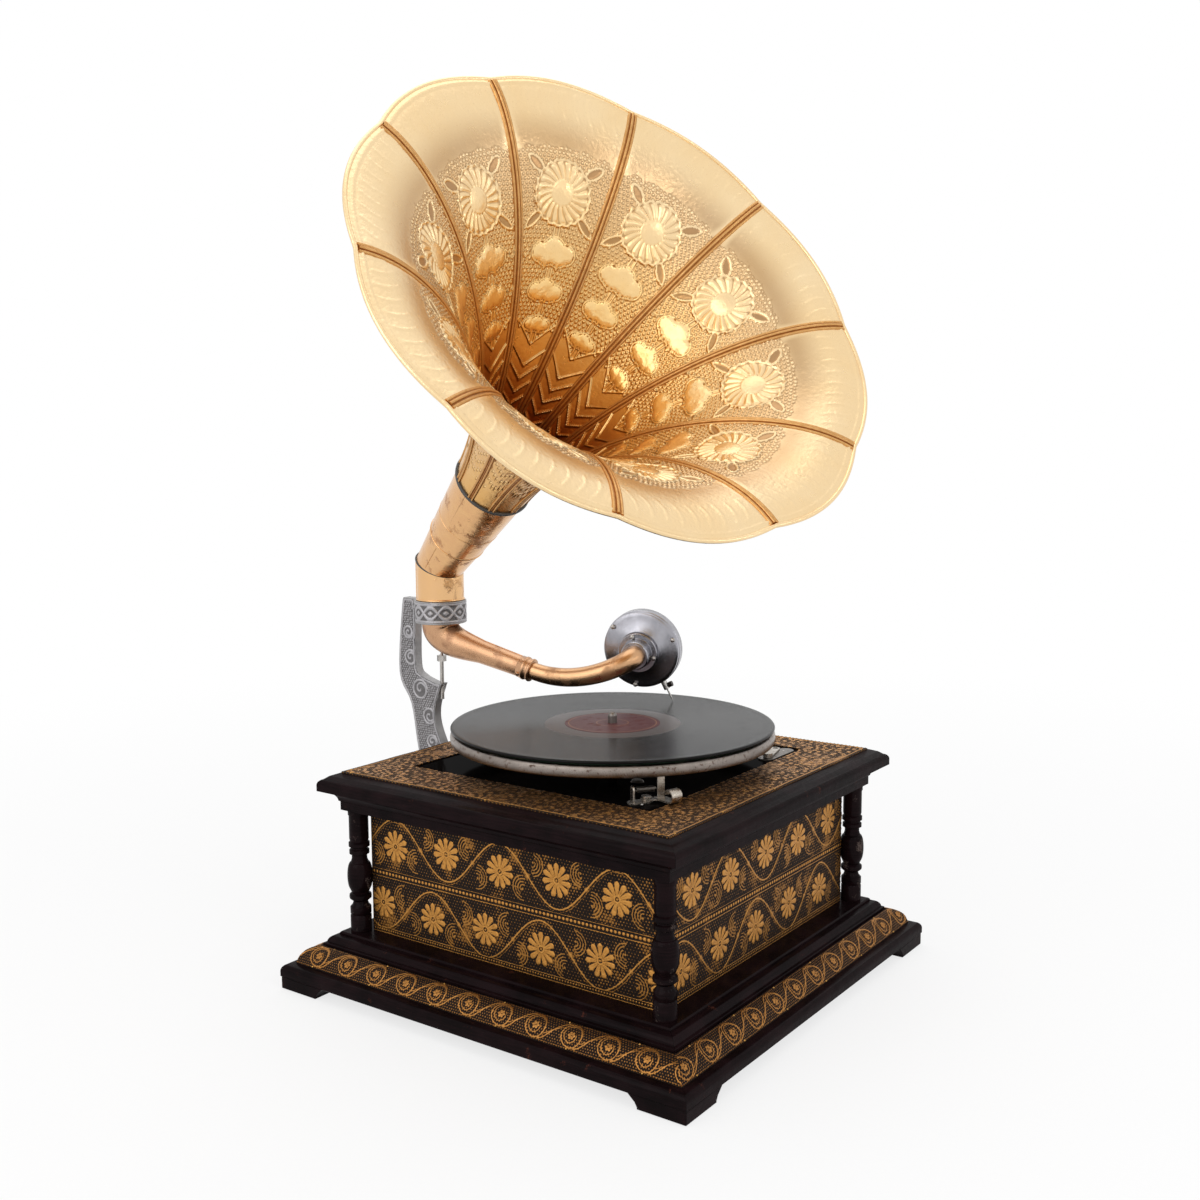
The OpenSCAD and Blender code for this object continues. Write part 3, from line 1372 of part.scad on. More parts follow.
plinth_board();
corner_feet();
base_moulding();
base_strips();
lower_moulding();
front_wall();
back_wall();
left_wall();
right_wall();
wall_sheets();
corner_pillars();
top_frame();
top_sheet();
motor_board();
platter();
felt_mat();
record();
record_label();
spindle();
brake_plate();
brake_lever();
brake_pad();
brake_spring();
speed_plate();
speed_lever();
friction_pad();
horn_bracket();
bracket_screws();
pivot_screw();
pivot_nut();
tonearm();
arm_collar();
gooseneck();
soundbox_back();
soundbox_flange();
gaskets();
soundbox_ring();
diaphragm();
soundbox_screws();
stylus_bar();
needle();
needle_screw();
horn_socket();
horn_neck();
horn_petals();
horn_seams();
horn_rim();
motor_plates();
motor_posts();
spring_barrel();
mainspring();
barrel_arbor();
click();
second_wheel();
governor();
governor_brackets();
winding_shaft();
crank_bush();
crank();
crank_knob();
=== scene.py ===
import math

import bmesh
import bpy
import numpy as np
from mathutils import Matrix, Vector


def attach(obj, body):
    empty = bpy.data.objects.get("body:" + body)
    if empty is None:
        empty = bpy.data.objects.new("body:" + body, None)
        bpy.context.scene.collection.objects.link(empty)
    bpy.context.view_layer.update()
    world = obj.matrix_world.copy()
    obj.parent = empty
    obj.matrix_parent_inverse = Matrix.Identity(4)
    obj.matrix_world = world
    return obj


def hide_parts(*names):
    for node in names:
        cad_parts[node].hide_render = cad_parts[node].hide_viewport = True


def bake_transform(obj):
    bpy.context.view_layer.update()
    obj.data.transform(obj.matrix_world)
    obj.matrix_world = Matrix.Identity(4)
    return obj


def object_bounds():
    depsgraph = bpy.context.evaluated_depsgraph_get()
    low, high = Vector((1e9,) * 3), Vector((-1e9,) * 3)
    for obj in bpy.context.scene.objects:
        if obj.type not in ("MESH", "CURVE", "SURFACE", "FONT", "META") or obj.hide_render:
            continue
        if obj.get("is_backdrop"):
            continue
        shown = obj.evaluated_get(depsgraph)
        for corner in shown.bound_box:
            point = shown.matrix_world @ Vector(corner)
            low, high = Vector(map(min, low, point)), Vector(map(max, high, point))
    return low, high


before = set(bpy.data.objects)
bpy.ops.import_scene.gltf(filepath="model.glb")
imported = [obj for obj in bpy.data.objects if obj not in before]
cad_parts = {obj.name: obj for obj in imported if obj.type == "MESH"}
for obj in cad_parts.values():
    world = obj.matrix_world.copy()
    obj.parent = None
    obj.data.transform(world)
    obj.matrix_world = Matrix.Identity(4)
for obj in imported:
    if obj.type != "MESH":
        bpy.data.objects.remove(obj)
cad_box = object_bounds()

# The studio: a pale floor, a white room, three soft lamps, and small ones for the brass's glints.
# The camera stands at the left front corner of the gramophone, a little above the record.

mm = 0.001
photo_width = 1200
focal_pixels = 1367.8
sensor_width = 36
camera_place = Vector((-863.66, -608.67, 429.47)) * mm
camera_azimuth = math.radians(-54.32)
camera_pitch = math.radians(7.18)
camera_roll = math.radians(-0.30)

level_ahead = Vector((-math.sin(camera_azimuth), math.cos(camera_azimuth), 0))
camera_ahead = level_ahead * math.cos(camera_pitch) - Vector((0, 0, math.sin(camera_pitch)))
camera_level = Vector((math.cos(camera_azimuth), math.sin(camera_azimuth), 0))
camera_above = camera_level.cross(camera_ahead)
camera_right = math.cos(camera_roll) * camera_level + math.sin(camera_roll) * camera_above
camera_axes = Matrix((camera_right, camera_right.cross(camera_ahead), -camera_ahead)).transposed()

scene = bpy.context.scene
scene.view_settings.view_transform = "Standard"
camera = bpy.data.objects.new("camera", bpy.data.cameras.new("camera"))
camera.data.sensor_width = sensor_width
camera.data.lens = sensor_width * focal_pixels / photo_width
camera.data.clip_start = 0.05
camera.data.clip_end = 30
camera.matrix_world = Matrix.Translation(camera_place) @ camera_axes.to_4x4()
scene.collection.objects.link(camera)
scene.camera = camera


def soft_lamp(name, place, target_z, size, watts, mirrored=True):
    """A square lamp that points at a height of the gramophone, and that brass may mirror."""
    lamp = bpy.data.objects.new(name, bpy.data.lights.new(name, "AREA"))
    lamp.data.shape = "SQUARE"
    lamp.data.size = size
    lamp.data.energy = watts
    lamp.location = place
    towards = Vector((0, 0, target_z)) - Vector(place)
    lamp.rotation_euler = towards.to_track_quat("-Z", "Y").to_euler()
    lamp.visible_glossy = mirrored
    scene.collection.objects.link(lamp)


soft_lamp("lamp_left", (-1.9, 0.3, 1.3), 0.25, 1.7, 12)
soft_lamp("lamp_front", (-0.3, -2.0, 1.5), 0.3, 1.7, 11, False)
soft_lamp("glints_front", (-0.6, -2.05, 1.45), 0.4, 0.5, 2.4)
soft_lamp("glints_left", (-1.8, -0.9, 1.5), 0.4, 0.35, 1.5)
soft_lamp("glints_right", (0.7, -2.0, 0.9), 0.4, 0.35, 1.5)
soft_lamp("lamp_top", (0.5, 0.5, 2.1), 0.3, 1.8, 8)


class Amount:
    """A number on a shader socket, which takes part in sums like any other number."""

    def __init__(self, nodes, socket):
        self.nodes = nodes
        self.socket = socket

    def __add__(self, other):
        return self.nodes.sum("ADD", self, other)

    def __sub__(self, other):
        return self.nodes.sum("SUBTRACT", self, other)

    def __rsub__(self, other):
        return self.nodes.sum("SUBTRACT", other, self)

    def __mul__(self, other):
        return self.nodes.sum("MULTIPLY", self, other)

    def __pow__(self, other):
        return self.nodes.sum("POWER", self, other)

    def __abs__(self):
        return self.nodes.sum("ABSOLUTE", self)

    __radd__ = __add__
    __rmul__ = __mul__


def rgb(code):
    """A colour code as it is written, turned into light."""
    parts = [int(code[i:i + 2], 16) / 255 for i in (1, 3, 5)]
    return tuple(p / 12.92 if p < 0.04045 else ((p + 0.055) / 1.055) ** 2.4 for p in parts) + (1.0,)


class Nodes:
    """A node tree in the making, with one method for each kind of node work."""

    def __init__(self, tree):
        self.tree = tree

    def feed(self, socket, value):
        """Gives a socket a link, an amount, a number, or a colour by its code."""
        if isinstance(value, Amount):
            value = value.socket
        if isinstance(value, bpy.types.NodeSocket):
            self.tree.links.new(value, socket)
        else:
            socket.default_value = rgb(value) if isinstance(value, str) else value

    def node(self, kind, settings=None, inputs=None):
        made = self.tree.nodes.new(kind)
        for name, value in (settings or {}).items():
            setattr(made, name, value)
        for name, value in (inputs or {}).items():
            self.feed(made.inputs[name], value)
        return made

    def sum(self, operation, *values):
        made = self.node("ShaderNodeMath", {"operation": operation}, dict(enumerate(values)))
        return Amount(self, made.outputs[0])

    def mix(self, share, first, second):
        made = self.node("ShaderNodeMix", {"data_type": "RGBA"}, {"Factor": share, 6: first, 7: second})
        return made.outputs[2]

    def over(self, base, *layers):
        """A base with other colours laid over it, each with its share of 0 to 1."""
        for share, colour in layers:
            base = self.mix(share, base, colour)
        return base


class Finish(Nodes):
    """A material in the making, whose textures lie on the piece in millimetres."""

    def __init__(self, name, **constants):
        self.material = bpy.data.materials.new(name)
        self.material.use_nodes = True
        super().__init__(self.material.node_tree)
        self.shader = self.tree.nodes["Principled BSDF"]
        self.links(constants)
        object_place = self.node("ShaderNodeTexCoord").outputs["Object"]
        scaled = {0: object_place, "Scale": 1 / mm}
        self.place = self.node("ShaderNodeVectorMath", {"operation": "SCALE"}, scaled).outputs[0]

    def links(self, values):
        for socket, value in values.items():
            self.feed(self.shader.inputs[socket.replace("_", " ")], value)

    def axes(self):
        """The place on the piece in millimetres, as three numbers."""
        parts = self.node("ShaderNodeSeparateXYZ", inputs={0: self.place})
        return [Amount(self, parts.outputs[i]) for i in range(3)]

    def point(self, x, y, z):
        return self.node("ShaderNodeCombineXYZ", inputs={0: x, 1: y, 2: z}).outputs[0]

    def mark(self, name):
        """A number that the mesh itself carries at each of its points."""
        return Amount(self, self.node("ShaderNodeAttribute", {"attribute_name": name}).outputs["Fac"])

    def cloud(self, scale, detail=3, place=None, distortion=0.0):
        made = self.node("ShaderNodeTexNoise", inputs={
            "Vector": place or self.place, "Scale": scale, "Detail": detail, "Distortion": distortion})
        return Amount(self, made.outputs["Fac"])

    def cells(self, scale):
        made = self.node("ShaderNodeTexVoronoi", inputs={"Vector": self.place, "Scale": scale})
        return Amount(self, made.outputs["Distance"])

    def between(self, value, low, high):
        """0 below low and 1 above high, or the other way round where low is the larger."""
        made = self.node("ShaderNodeMapRange", {"interpolation_type": "SMOOTHSTEP"}, {
            "Value": value, "From Min": low, "From Max": high})
        return Amount(self, made.outputs[0])

    def done(self, base, roughness, height, depth, **values):
        """The material, from its colour, its roughness and a relief that is depth millimetres high."""
        relief = {"Height": height, "Strength": 1.0, "Distance": depth * mm}
        facing = self.node("ShaderNodeBump", inputs=relief).outputs[0]
        self.links({"Base Color": base, "Roughness": roughness, "Normal": facing, **values})
        return self.material


def make_mesh(name, points, faces, finish, crease=35):
    """An object from points in millimetres, with smooth faces and sharp creases."""
    mesh = bpy.data.meshes.new(name)
    mesh.from_pydata((np.asarray(points, float) * mm).tolist(), [], faces)
    mesh.update()
    mesh.shade_smooth()
    mesh.set_sharp_from_angle(angle=math.radians(crease))
    mesh.materials.append(finish)
    made = bpy.data.objects.new(name, mesh)
    scene.collection.objects.link(made)
    return made


ground = Finish("floor_paper", Roughness=0.9)
ground.links({"Base Color": ground.mix(ground.cloud(0.4, 2), "#ececec", "#f2f2f2")})
glow = ground.node("ShaderNodeEmission", inputs={"Color": (1, 1, 1, 1), "Strength": 1.0})
rays = ground.node("ShaderNodeLightPath").outputs
seen = ground.sum("MAXIMUM", rays["Is Camera Ray"], rays["Is Glossy Ray"])
floor_x, floor_y, floor_z = ground.axes()
away = (floor_x * floor_x + floor_y * floor_y) ** 0.5
whiten = 0.74 + 0.26 * ground.between(away, 350, 1500)
surface = ground.node("ShaderNodeMixShader", inputs={
    0: seen * whiten, 1: ground.shader.outputs[0], 2: glow.outputs[0]})
ground.feed(ground.tree.nodes["Material Output"].inputs[0], surface.outputs[0])
floor_half = 6000
floor_corners = [(x * floor_half, y * floor_half, -0.5) for x, y in ((-1, -1), (1, -1), (1, 1), (-1, 1))]
make_mesh("floor", floor_corners, [(0, 1, 2, 3)], ground.material)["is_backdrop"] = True

scene.world = bpy.data.worlds.new("room")
scene.world.use_nodes = True
room = Nodes(scene.world.node_tree)
direction = room.node("ShaderNodeTexCoord").outputs["Generated"]
upwards = room.node("ShaderNodeSeparateXYZ", inputs={0: direction}).outputs["Z"]
height = room.node("ShaderNodeMapRange", inputs={"Value": upwards, "From Min": -1}).outputs[0]
shades = room.node("ShaderNodeValToRGB", inputs={0: height})
dim_white = (0.55, 0.55, 0.56, 1)
shades.color_ramp.elements[0].color = dim_white
shades.color_ramp.elements[1].color = (0.92, 0.92, 0.92, 1)
shades.color_ramp.elements.new(0.52).color = (0.80, 0.80, 0.80, 1)
shades.color_ramp.elements.new(0.72).color = dim_white
rays = room.node("ShaderNodeLightPath").outputs
room_seen = rays["Is Camera Ray"]
for ray in ("Is Glossy Ray", "Is Transmission Ray"):
    room_seen = room.sum("MAXIMUM", room_seen, rays[ray])
backdrop = room.mix(room_seen, shades.outputs[0], (1, 1, 1, 1))
room.feed(room.tree.nodes["Background"].inputs[0], backdrop)

# Plinth, feet and mouldings: solid boards and planed mouldings, mitred at the corners.
# They are stained black-brown, lacquered by hand and rubbed through along the edges.

case_half = 134.0
plinth_half = 185.0
plinth_low = 9.0
plinth_z = 19.4
plinth_inner = 150
plinth_edge = 5.7
lower_z = 32.5
case_z = 42.8
top_z = 139.5
deck_z = 168.4
corners = ((1, 1), (-1, 1), (-1, -1), (1, -1))


def quads(index, rings=False, closed=False):
    """Four-sided faces of a grid of points, whose rows may be rings and may close on the first."""
    index = np.pad(index, ((0, int(closed)), (0, int(rings))), mode="wrap")
    return np.stack([index[:-1, :-1], index[1:, :-1], index[1:, 1:], index[:-1, 1:]], -1).reshape(-1, 4)


def outward(piece, merge=False):
    """Turns the faces of a closed shell outwards, and may first merge points that fall together."""
    shell = bmesh.new()
    shell.from_mesh(piece.data)
    if merge:
        bmesh.ops.remove_doubles(shell, verts=shell.verts, dist=1e-7)
        bmesh.ops.dissolve_degenerate(shell, edges=shell.edges, dist=1e-7)
    bmesh.ops.recalc_face_normals(shell, faces=shell.faces)
    shell.to_mesh(piece.data)
    shell.free()


def rails(name, profile, finish, crease=35):
    """Four mitred rails round the cabinet: their profile is distance from the middle and height."""
    points = [(x * d, y * d, z) for d, z in profile for x, y in corners]
    index = np.arange(len(points)).reshape(-1, 4)
    made = make_mesh(name, points, quads(index, True, True).tolist(), finish, crease)
    outward(made)
    return made


def stacked(name, levels, finish):
    """A solid block from levels of four corners each, from its underside to its top."""
    index = np.arange(4 * len(levels)).reshape(-1, 4)
    faces = quads(index, True).tolist() + [index[0].tolist(), index[-1].tolist()]
    made = make_mesh(name, np.concatenate(levels), faces, finish)
    outward(made)
    return made


def box_levels(low, high):
    (ax, ay, az), (bx, by, bz) = low, high
    return [[(ax, ay, z), (bx, ay, z), (bx, by, z), (ax, by, z)] for z in (az, bz)]


def ease(piece, width):
    """Rounds the edges of a piece a little."""
    eased = piece.modifiers.new("eased", "BEVEL")
    eased.width = width * mm
    eased.segments = 2
    return eased


def place_piece(piece, body, slot, *nodes):
    """The piece rides on its body and stands for CAD nodes, which it hides; the slot is not used."""
    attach(piece, body)
    if nodes:
        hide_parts(*nodes)


def arc(centre, wide, high, start, end, steps=10):
    """Points on part of an ellipse, from one angle in degrees to another."""
    turns = [math.radians(start + (end - start) * i / steps) for i in range(steps + 1)]
    return [(centre[0] + wide * math.cos(t), centre[1] + high * math.sin(t)) for t in turns]


def lacquer(name, dark, light, chip, roughness, wear=0.86):
    """Black-brown lacquer on wood: cloudy tone, fine pores, dents, and reddish wear."""
    finish = Finish(name, Coat_Roughness=0.16, Specular_IOR_Level=0.01)
    x, y, z = finish.axes()
    tone = finish.cloud(0.035, 5)
    streak = finish.cloud(1.0, 4, place=finish.point(x * 0.06, y * 0.06, z * 0.9))
    pores = finish.cloud(2.6, 4)
    worn = finish.between(finish.cloud(0.09, 6) + 0.35 * finish.cloud(1.1, 5), wear, wear + 0.09)
    mitre = finish.between(abs(abs(x) - abs(y)), 0.35, 0.1) * finish.between(abs(x), 150, 152)
    base = finish.mix(finish.between(tone * 0.6 + streak * 0.4, 0.35, 0.66), dark, light)
    base = finish.over(base, (worn * 0.55, chip), (mitre * 0.8, "#050404"))
    height = pores * 0.35 + streak * 0.5 + worn * -0.4 + finish.cloud(0.12, 2) * 1.2
    rough = roughness + 0.2 * finish.cloud(0.3, 5) + 0.18 * worn
    return finish.done(base, rough, height, 0.28, Coat_Weight=0.07 - 0.05 * worn)


dark_wood = lacquer("dark_lacquered_wood", "#0d0708", "#1c1012", "#5a3226", 0.24)
nose_middle = (plinth_half - plinth_edge, plinth_z - plinth_edge)
plinth_profile = [
    (plinth_inner, plinth_low), (plinth_half - 0.8, plinth_low), (plinth_half, plinth_low + 0.8)]
plinth_profile += arc(nose_middle, plinth_edge, plinth_edge, 0, 90) + [(plinth_inner, plinth_z)]
plinth = rails("plinth_board", plinth_profile, dark_wood)
place_piece(plinth, "cabinet", "lacquered_wood", "plinth_board")
middle_half = plinth_inner + 1
middle_levels = box_levels((-middle_half, -middle_half, 9.4), (middle_half, middle_half, 19.0))
place_piece(stacked("plinth_underside", middle_levels, dark_wood), "cabinet", "lacquered_wood")

foot_side = 45.0
foot_h = 9.2
foot_curve = 7.0
foot_out = plinth_half - 0.5
foot_in = plinth_half - foot_side + foot_curve
for number, (fx, fy) in enumerate(corners, 1):
    # the foot's inner ends are cut in a small ogee
    ogee = [(foot_in, 0), (foot_in + 0.5, 1.0), (foot_in - 1.5, 4.5), (foot_in - foot_curve, foot_h)]
    levels = [[(fx * d, fy * d, z), (fx * foot_out, fy * d, z), (fx * foot_out, fy * foot_out, z),
        (fx * d, fy * foot_out, z)] for d, z in ogee]
    foot = stacked(f"corner_foot_{number}", levels, dark_wood)
    ease(foot, 0.7)
    place_piece(foot, "cabinet", "lacquered_wood", "corner_feet")

strip_r = 162.4
lower_in = strip_r - 11.0
fillet = 2.2
lower_profile = [(case_half, case_z), (case_half, lower_z), (strip_r - 1, lower_z)]
lower_profile += [(strip_r - 1, lower_z + fillet - 0.4), (strip_r - 1.5, lower_z + fillet)]
lower_rise = case_z - lower_z - 2 * fillet
lower_profile += arc((lower_in + 1, lower_z + fillet), strip_r - lower_in - 4, lower_rise, 6, 84, 13)
lower_profile += [(lower_in + 1, case_z - fillet), (lower_in + 1, case_z - 1), (lower_in, case_z)]
place_piece(rails("lower_moulding", lower_profile, dark_wood), "cabinet", "lacquered_wood", "lower_moulding")


# Base strips: thin brass sheet pressed with a running scroll, laid over the sloping moulding.
# The raised lines are gilt, the ground is blackened, and small brass nails hold the edges.

def hills(distance, half_width):
    """A round ridge where the distance to a line is below its half width, 0 to 1."""
    return np.sqrt(np.clip(1 - (distance / half_width) ** 2, 0, 1))


def chance(column, row, seed=0):
    """A number from 0 to 1 that looks random and is the same each time."""
    wide = np.sin(column * 12.9898 + row * 78.233 + seed) * 43758.5453
    return wide - np.floor(wide)


def stipple(u, v, pitch, radius, shake=0.18):
    """Small round domes in staggered rows, a little out of line as punched by hand."""
    row_pitch = pitch * 0.866
    row = np.round(v / row_pitch)
    offset = (row % 2) * 0.5 * pitch
    column = np.round((u - offset) / pitch)
    wander = (chance(column, row, 3) - 0.5) * shake * pitch
    du = u - offset - column * pitch - wander
    dv = v - row * row_pitch - wander * 0.7
    return hills(np.hypot(du, dv), radius)


def daisy(du, dv, petals, outer, heart, turn=0.0):
    """A flower of round-ended petals with a heart: its height from 0 to 1."""
    far = np.hypot(du, dv)
    step = 2 * math.pi / petals
    angle = np.mod(np.arctan2(dv, du) + turn + step / 2, step) - step / 2
    along = far * np.cos(angle)
    across = np.abs(far * np.sin(angle))
    tip = outer * math.sin(step / 2) * 0.71
    tip_centre = outer - tip
    shank = tip * (0.22 + 0.78 * np.clip(along / tip_centre, 0, 1))
    round_end = np.sqrt(np.clip(tip ** 2 - (along - tip_centre) ** 2, 0, None))
    wide = np.where(along < tip_centre, shank, round_end)
    inside = np.clip((wide - across) / (0.35 * tip), 0, 1) * (along > heart * 1.25)
    petal = np.sqrt(inside) * (0.75 + 0.25 * hills(across, tip * 1.2))
    groove = 1 - 0.4 * hills(across, 0.35) * (along < outer * 0.7)
    ring = hills(far - heart * 0.95, heart * 0.33)
    return np.maximum(petal * groove, np.maximum(ring, 0.9 * hills(far, heart * 0.45)))


def mark_points(piece, name, values):
    """Gives each point of a piece a number that its finish reads."""
    kept = piece.data.attributes.new(name, "FLOAT", "POINT")
    kept.data.foreach_set("value", np.asarray(values, np.float32).ravel())


def pressed_sheet(name, base, out, proud, height, finish, edge=0.8):
    """A pressed metal sheet: its height stands on a grid of points, and its border turns back."""
    rise = np.pad(height, 1, mode="constant", constant_values=-edge)
    grid = np.pad(base, ((1, 1), (1, 1), (0, 0)), mode="edge")
    lean = np.broadcast_to(out, base.shape)
    lean = np.pad(lean, ((1, 1), (1, 1), (0, 0)), mode="edge")
    points = grid + lean * rise[..., None]
    faces = quads(np.arange(rise.size).reshape(rise.shape))
    first = points[1, 1]
    facing = np.cross(points[2, 1] - first, points[1, 2] - first)
    if np.dot(facing, lean[1, 1]) < 0:
        faces = faces[:, ::-1]
    piece = make_mesh(name, points.reshape(-1, 3), faces.tolist(), finish, 60)
    mark_points(piece, "proud", np.pad(proud, 1, mode="edge"))
    return piece


def gilt_sheet(name, gold, bright, ground, share):
    """Pressed brass, gilt on what stands proud and blackened in the ground, with painted shade on the
    relief's flanks.
    """
    finish = Finish(name, Specular_IOR_Level=0.15)
    proud = finish.mark("proud")
    wash = finish.between(finish.cloud(0.045, 4), 0.50, 0.72)
    rub = finish.cloud(0.9, 5)
    gilt = finish.between(proud + (rub - 0.5) * 0.55 + wash * share, 0.42, 0.62)
    stain = finish.between(finish.cloud(0.25, 6), 0.55, 0.75)
    # the gilding is painted darker on the flanks of the relief, as shade
    flank_shade = finish.between(proud, 0.88, 0.5)
    gilding = finish.mix(finish.cloud(0.4, 4), gold, bright)
    gilding = finish.over(gilding, (flank_shade * 0.6, "#5f3a19"), (stain * 0.4, "#5a3a1c"))
    base = finish.mix(gilt, finish.mix(finish.cloud(0.6, 4), ground, "#21140c"), gilding)
    height = rub + finish.cloud(3.0, 3) * 0.6
    return finish.done(base, 0.60 - 0.28 * gilt + 0.14 * rub, height, 0.12, Metallic=0.05 + 0.85 * gilt)


def quarter_turn(number):
    """The turn that takes the back of the cabinet to its next sides."""
    return np.array(Matrix.Rotation(math.radians(90 * number), 3, "Z")).T


strip_gilt = gilt_sheet("gilt_base_strip", "#8f5e2f", "#d0954f", "#0c0706", 0.0)
base_rise = 13.1
base_run = 13.9
base_out = plinth_half - 8.7


def slope_place(share):
    """The base moulding's face at a share of its height: distance from the middle and height."""
    bulge = 3.4 * np.sin(np.pi * share) * 0.7
    return base_out - base_run * share + bulge, plinth_z + base_rise * share + bulge


scroll_pitch = 30.2
scroll_r = 8.1
scroll_eye = 3.4
curl_pitch = 3.9
strip_grid = 0.5
slope = np.linspace(0, 1, 40)
strip_line = np.stack(slope_place(slope), -1)
strip_run = np.concatenate([[0], np.cumsum(np.linalg.norm(np.diff(strip_line, axis=0), axis=1))])
strip_width = strip_run[-1]


def scroll_pattern(u, v):
    """Scrolls in a row, each a ring that the running line leaves at its top and joins below."""
    du = u - np.round(u / scroll_pitch) * scroll_pitch
    far = np.hypot(du, v)
    curl = far - curl_pitch * np.arctan2(v, du) / (2 * math.pi)
    swirl = hills(np.mod(curl, curl_pitch) - curl_pitch / 2, 0.46) * (far < scroll_r) * (far > scroll_eye)
    bend = np.clip((np.abs(du) - 3) / (scroll_pitch / 2 - 3), 0, 1)
    run_v = np.sign(du) * scroll_r * np.cos(bend * math.pi / 2)
    outside = np.abs(du) > 3.5
    return np.maximum.reduce([
        hills(far - scroll_r, 0.5),
        daisy(du, v, 6, 3.1, 0.9),
        hills(v - run_v, 0.6) * outside * (far > scroll_r - 0.4),
        hills(v - run_v * 0.62, 0.5) * outside * (far > scroll_r + 0.6) * 0.8,
        swirl * 0.9,
        stipple(u, v, 2.1, 0.86) * 0.68 * (far > scroll_eye),
        hills(np.abs(v) - (strip_width / 2 - 1.4), 0.45) * 0.6])


for number, shift in enumerate((14.3, 3.8, -14.3, 3.8)):
    across = np.linspace(0, strip_width, int(strip_width / strip_grid))
    d, z = slope_place(np.interp(across, strip_run, slope))
    along = np.linspace(-1, 1, int(2 * base_out / strip_grid))[:, None] * d[None, :]
    slant = np.hypot(np.gradient(d), np.gradient(z))
    out = np.stack(np.broadcast_arrays(0 * along, np.gradient(z) / slant, -np.gradient(d) / slant), -1)
    base = np.stack(np.broadcast_arrays(along, d, z), -1)
    proud = scroll_pattern(along - shift, np.broadcast_to(across, along.shape) - strip_width / 2)
    spin = quarter_turn(number)
    piece = f"base_strip_{number + 1}"
    strip = pressed_sheet(piece, base @ spin, out @ spin, proud, proud * 0.55, strip_gilt, 0.5)
    place_piece(strip, "cabinet", "embossed_brass", "base_strips")
under_strips = np.stack(slope_place(np.linspace(0.02, 0.97, 12)), -1) - 0.6
moulding_profile = [(case_half, lower_z - 1), (case_half, plinth_z), (base_out - 0.8, plinth_z)]
moulding_profile += under_strips.tolist() + [(strip_r - 1, lower_z - 0.6)]
place_piece(rails("base_moulding", moulding_profile, dark_wood), "cabinet", "lacquered_wood", "base_moulding")

# Case walls and their pressed sheets: pine boards faced with thin brass on all four sides.
# Each sheet has two rows of gilt daisies with a running vine, bead rows and a punched ground.

def paint_node(finish, *nodes):
    """Gives CAD nodes a finish without touching their mesh."""
    for name in nodes:
        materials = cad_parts[name].data.materials
        materials.clear()
        materials.append(finish)


pine = Finish("case_pine", Roughness=0.7)
x, y, z = pine.axes()
year_rings = pine.cloud(0.35, 4, place=pine.point(x * 0.1, y * 0.1, z * 1.6), distortion=0.6)
bare_pine = pine.done(pine.mix(year_rings, "#4c3527", "#6d5140"), 0.6 + 0.25 * year_rings, year_rings, 0.2)
paint_node(bare_pine, "front_wall", "back_wall", "left_wall", "right_wall")

sheet_gilt = gilt_sheet("gilt_side_sheet", "#a66d31", "#dba254", "#0e0806", 0.50)
sheet_half = 132.2
sheet_face = case_half + 1.0
vine_pitch = 51.4
vine_swing = 19.2
row_half = 22.5
band_middle = 90.9


def vine_row(u, v, flip):
    """One row of daisies, the vine that winds between them and the leaves at its crossings."""
    phase = np.pi * u / vine_pitch
    slant = flip * vine_swing * np.pi / vine_pitch * np.sin(phase)
    to_vine = (v - flip * vine_swing * np.cos(phase)) / np.hypot(1, slant)
    vine = np.maximum(hills(to_vine, 0.75), 0.7 * hills(to_vine + 1.9, 0.42))
    cell = np.round(u / vine_pitch)
    side = flip * np.where(np.mod(cell, 2) == 0, 1.0, -1.0)
    du = u - cell * vine_pitch
    flower = daisy(du, v + side * 1.6, 11, 12.6, 2.5, 0.13)
    curls = np.zeros_like(u)
    for lean in (-1, 1):
        for up in (-1, 1):
            # a pair of curls of four lines leaves the vine at each crossing, one up and one down
            curl_u = (du - lean * vine_pitch / 2) * up * side * lean - 4.4
            curl_v = v * up - 9.6
            far = np.hypot(curl_u, curl_v)
            around = np.arctan2(curl_v, curl_u)
            for r in (2.4, 4.6, 6.8, 9.0):
                line = hills(far - r, 0.6) * (around > -2.1 + 0.06 * r) * (around < 0.6 + 0.12 * r)
                curls = np.maximum(curls, line)
            curls = np.maximum(curls, hills(np.hypot(curl_u - 0.4, curl_v - 1.0), 1.3))
    crossing = hills(np.hypot(np.abs(du) - vine_pitch / 2, v), 2.4) * 0.8
    return flower, np.maximum(vine, crossing), curls


def bead_row(u, off, pitch, bead, line, line_half):
    """A row of beads between two thin lines, at a distance from the row's middle."""
    beads = hills(np.hypot(np.mod(u, pitch) - pitch / 2, off), bead)
    return np.maximum(beads, hills(off - line, line_half) * 0.8)


def side_pattern(u, z, shift):
    proud = stipple(u, z, 2.6, 0.98) * 0.60
    for height, offset, flip in ((115.6, -4.3, 1), (65.9, -18.6, -1)):
        flower, vine, curls = vine_row(u - offset - shift, z - height, flip)
        clear = np.clip(1.6 - flower * 4, 0, 1)
        lines = [proud * (flower < 0.02), vine * 0.9 * clear, curls * 0.75 * clear, flower]
        proud = np.where(np.abs(z - height) < row_half, np.maximum.reduce(lines), proud)
    off = np.abs(z - band_middle)
    proud = np.where(off < 3.5, bead_row(u, off, 3.4, 1.5, 2.9, 0.42), proud)
    for edge in (top_z - 2.6, case_z + 2.6):
        off = np.abs(z - edge)
        proud = np.where(off < 2.3, bead_row(u, off, 2.4, 0.95, 1.9, 0.4), proud)
    return proud


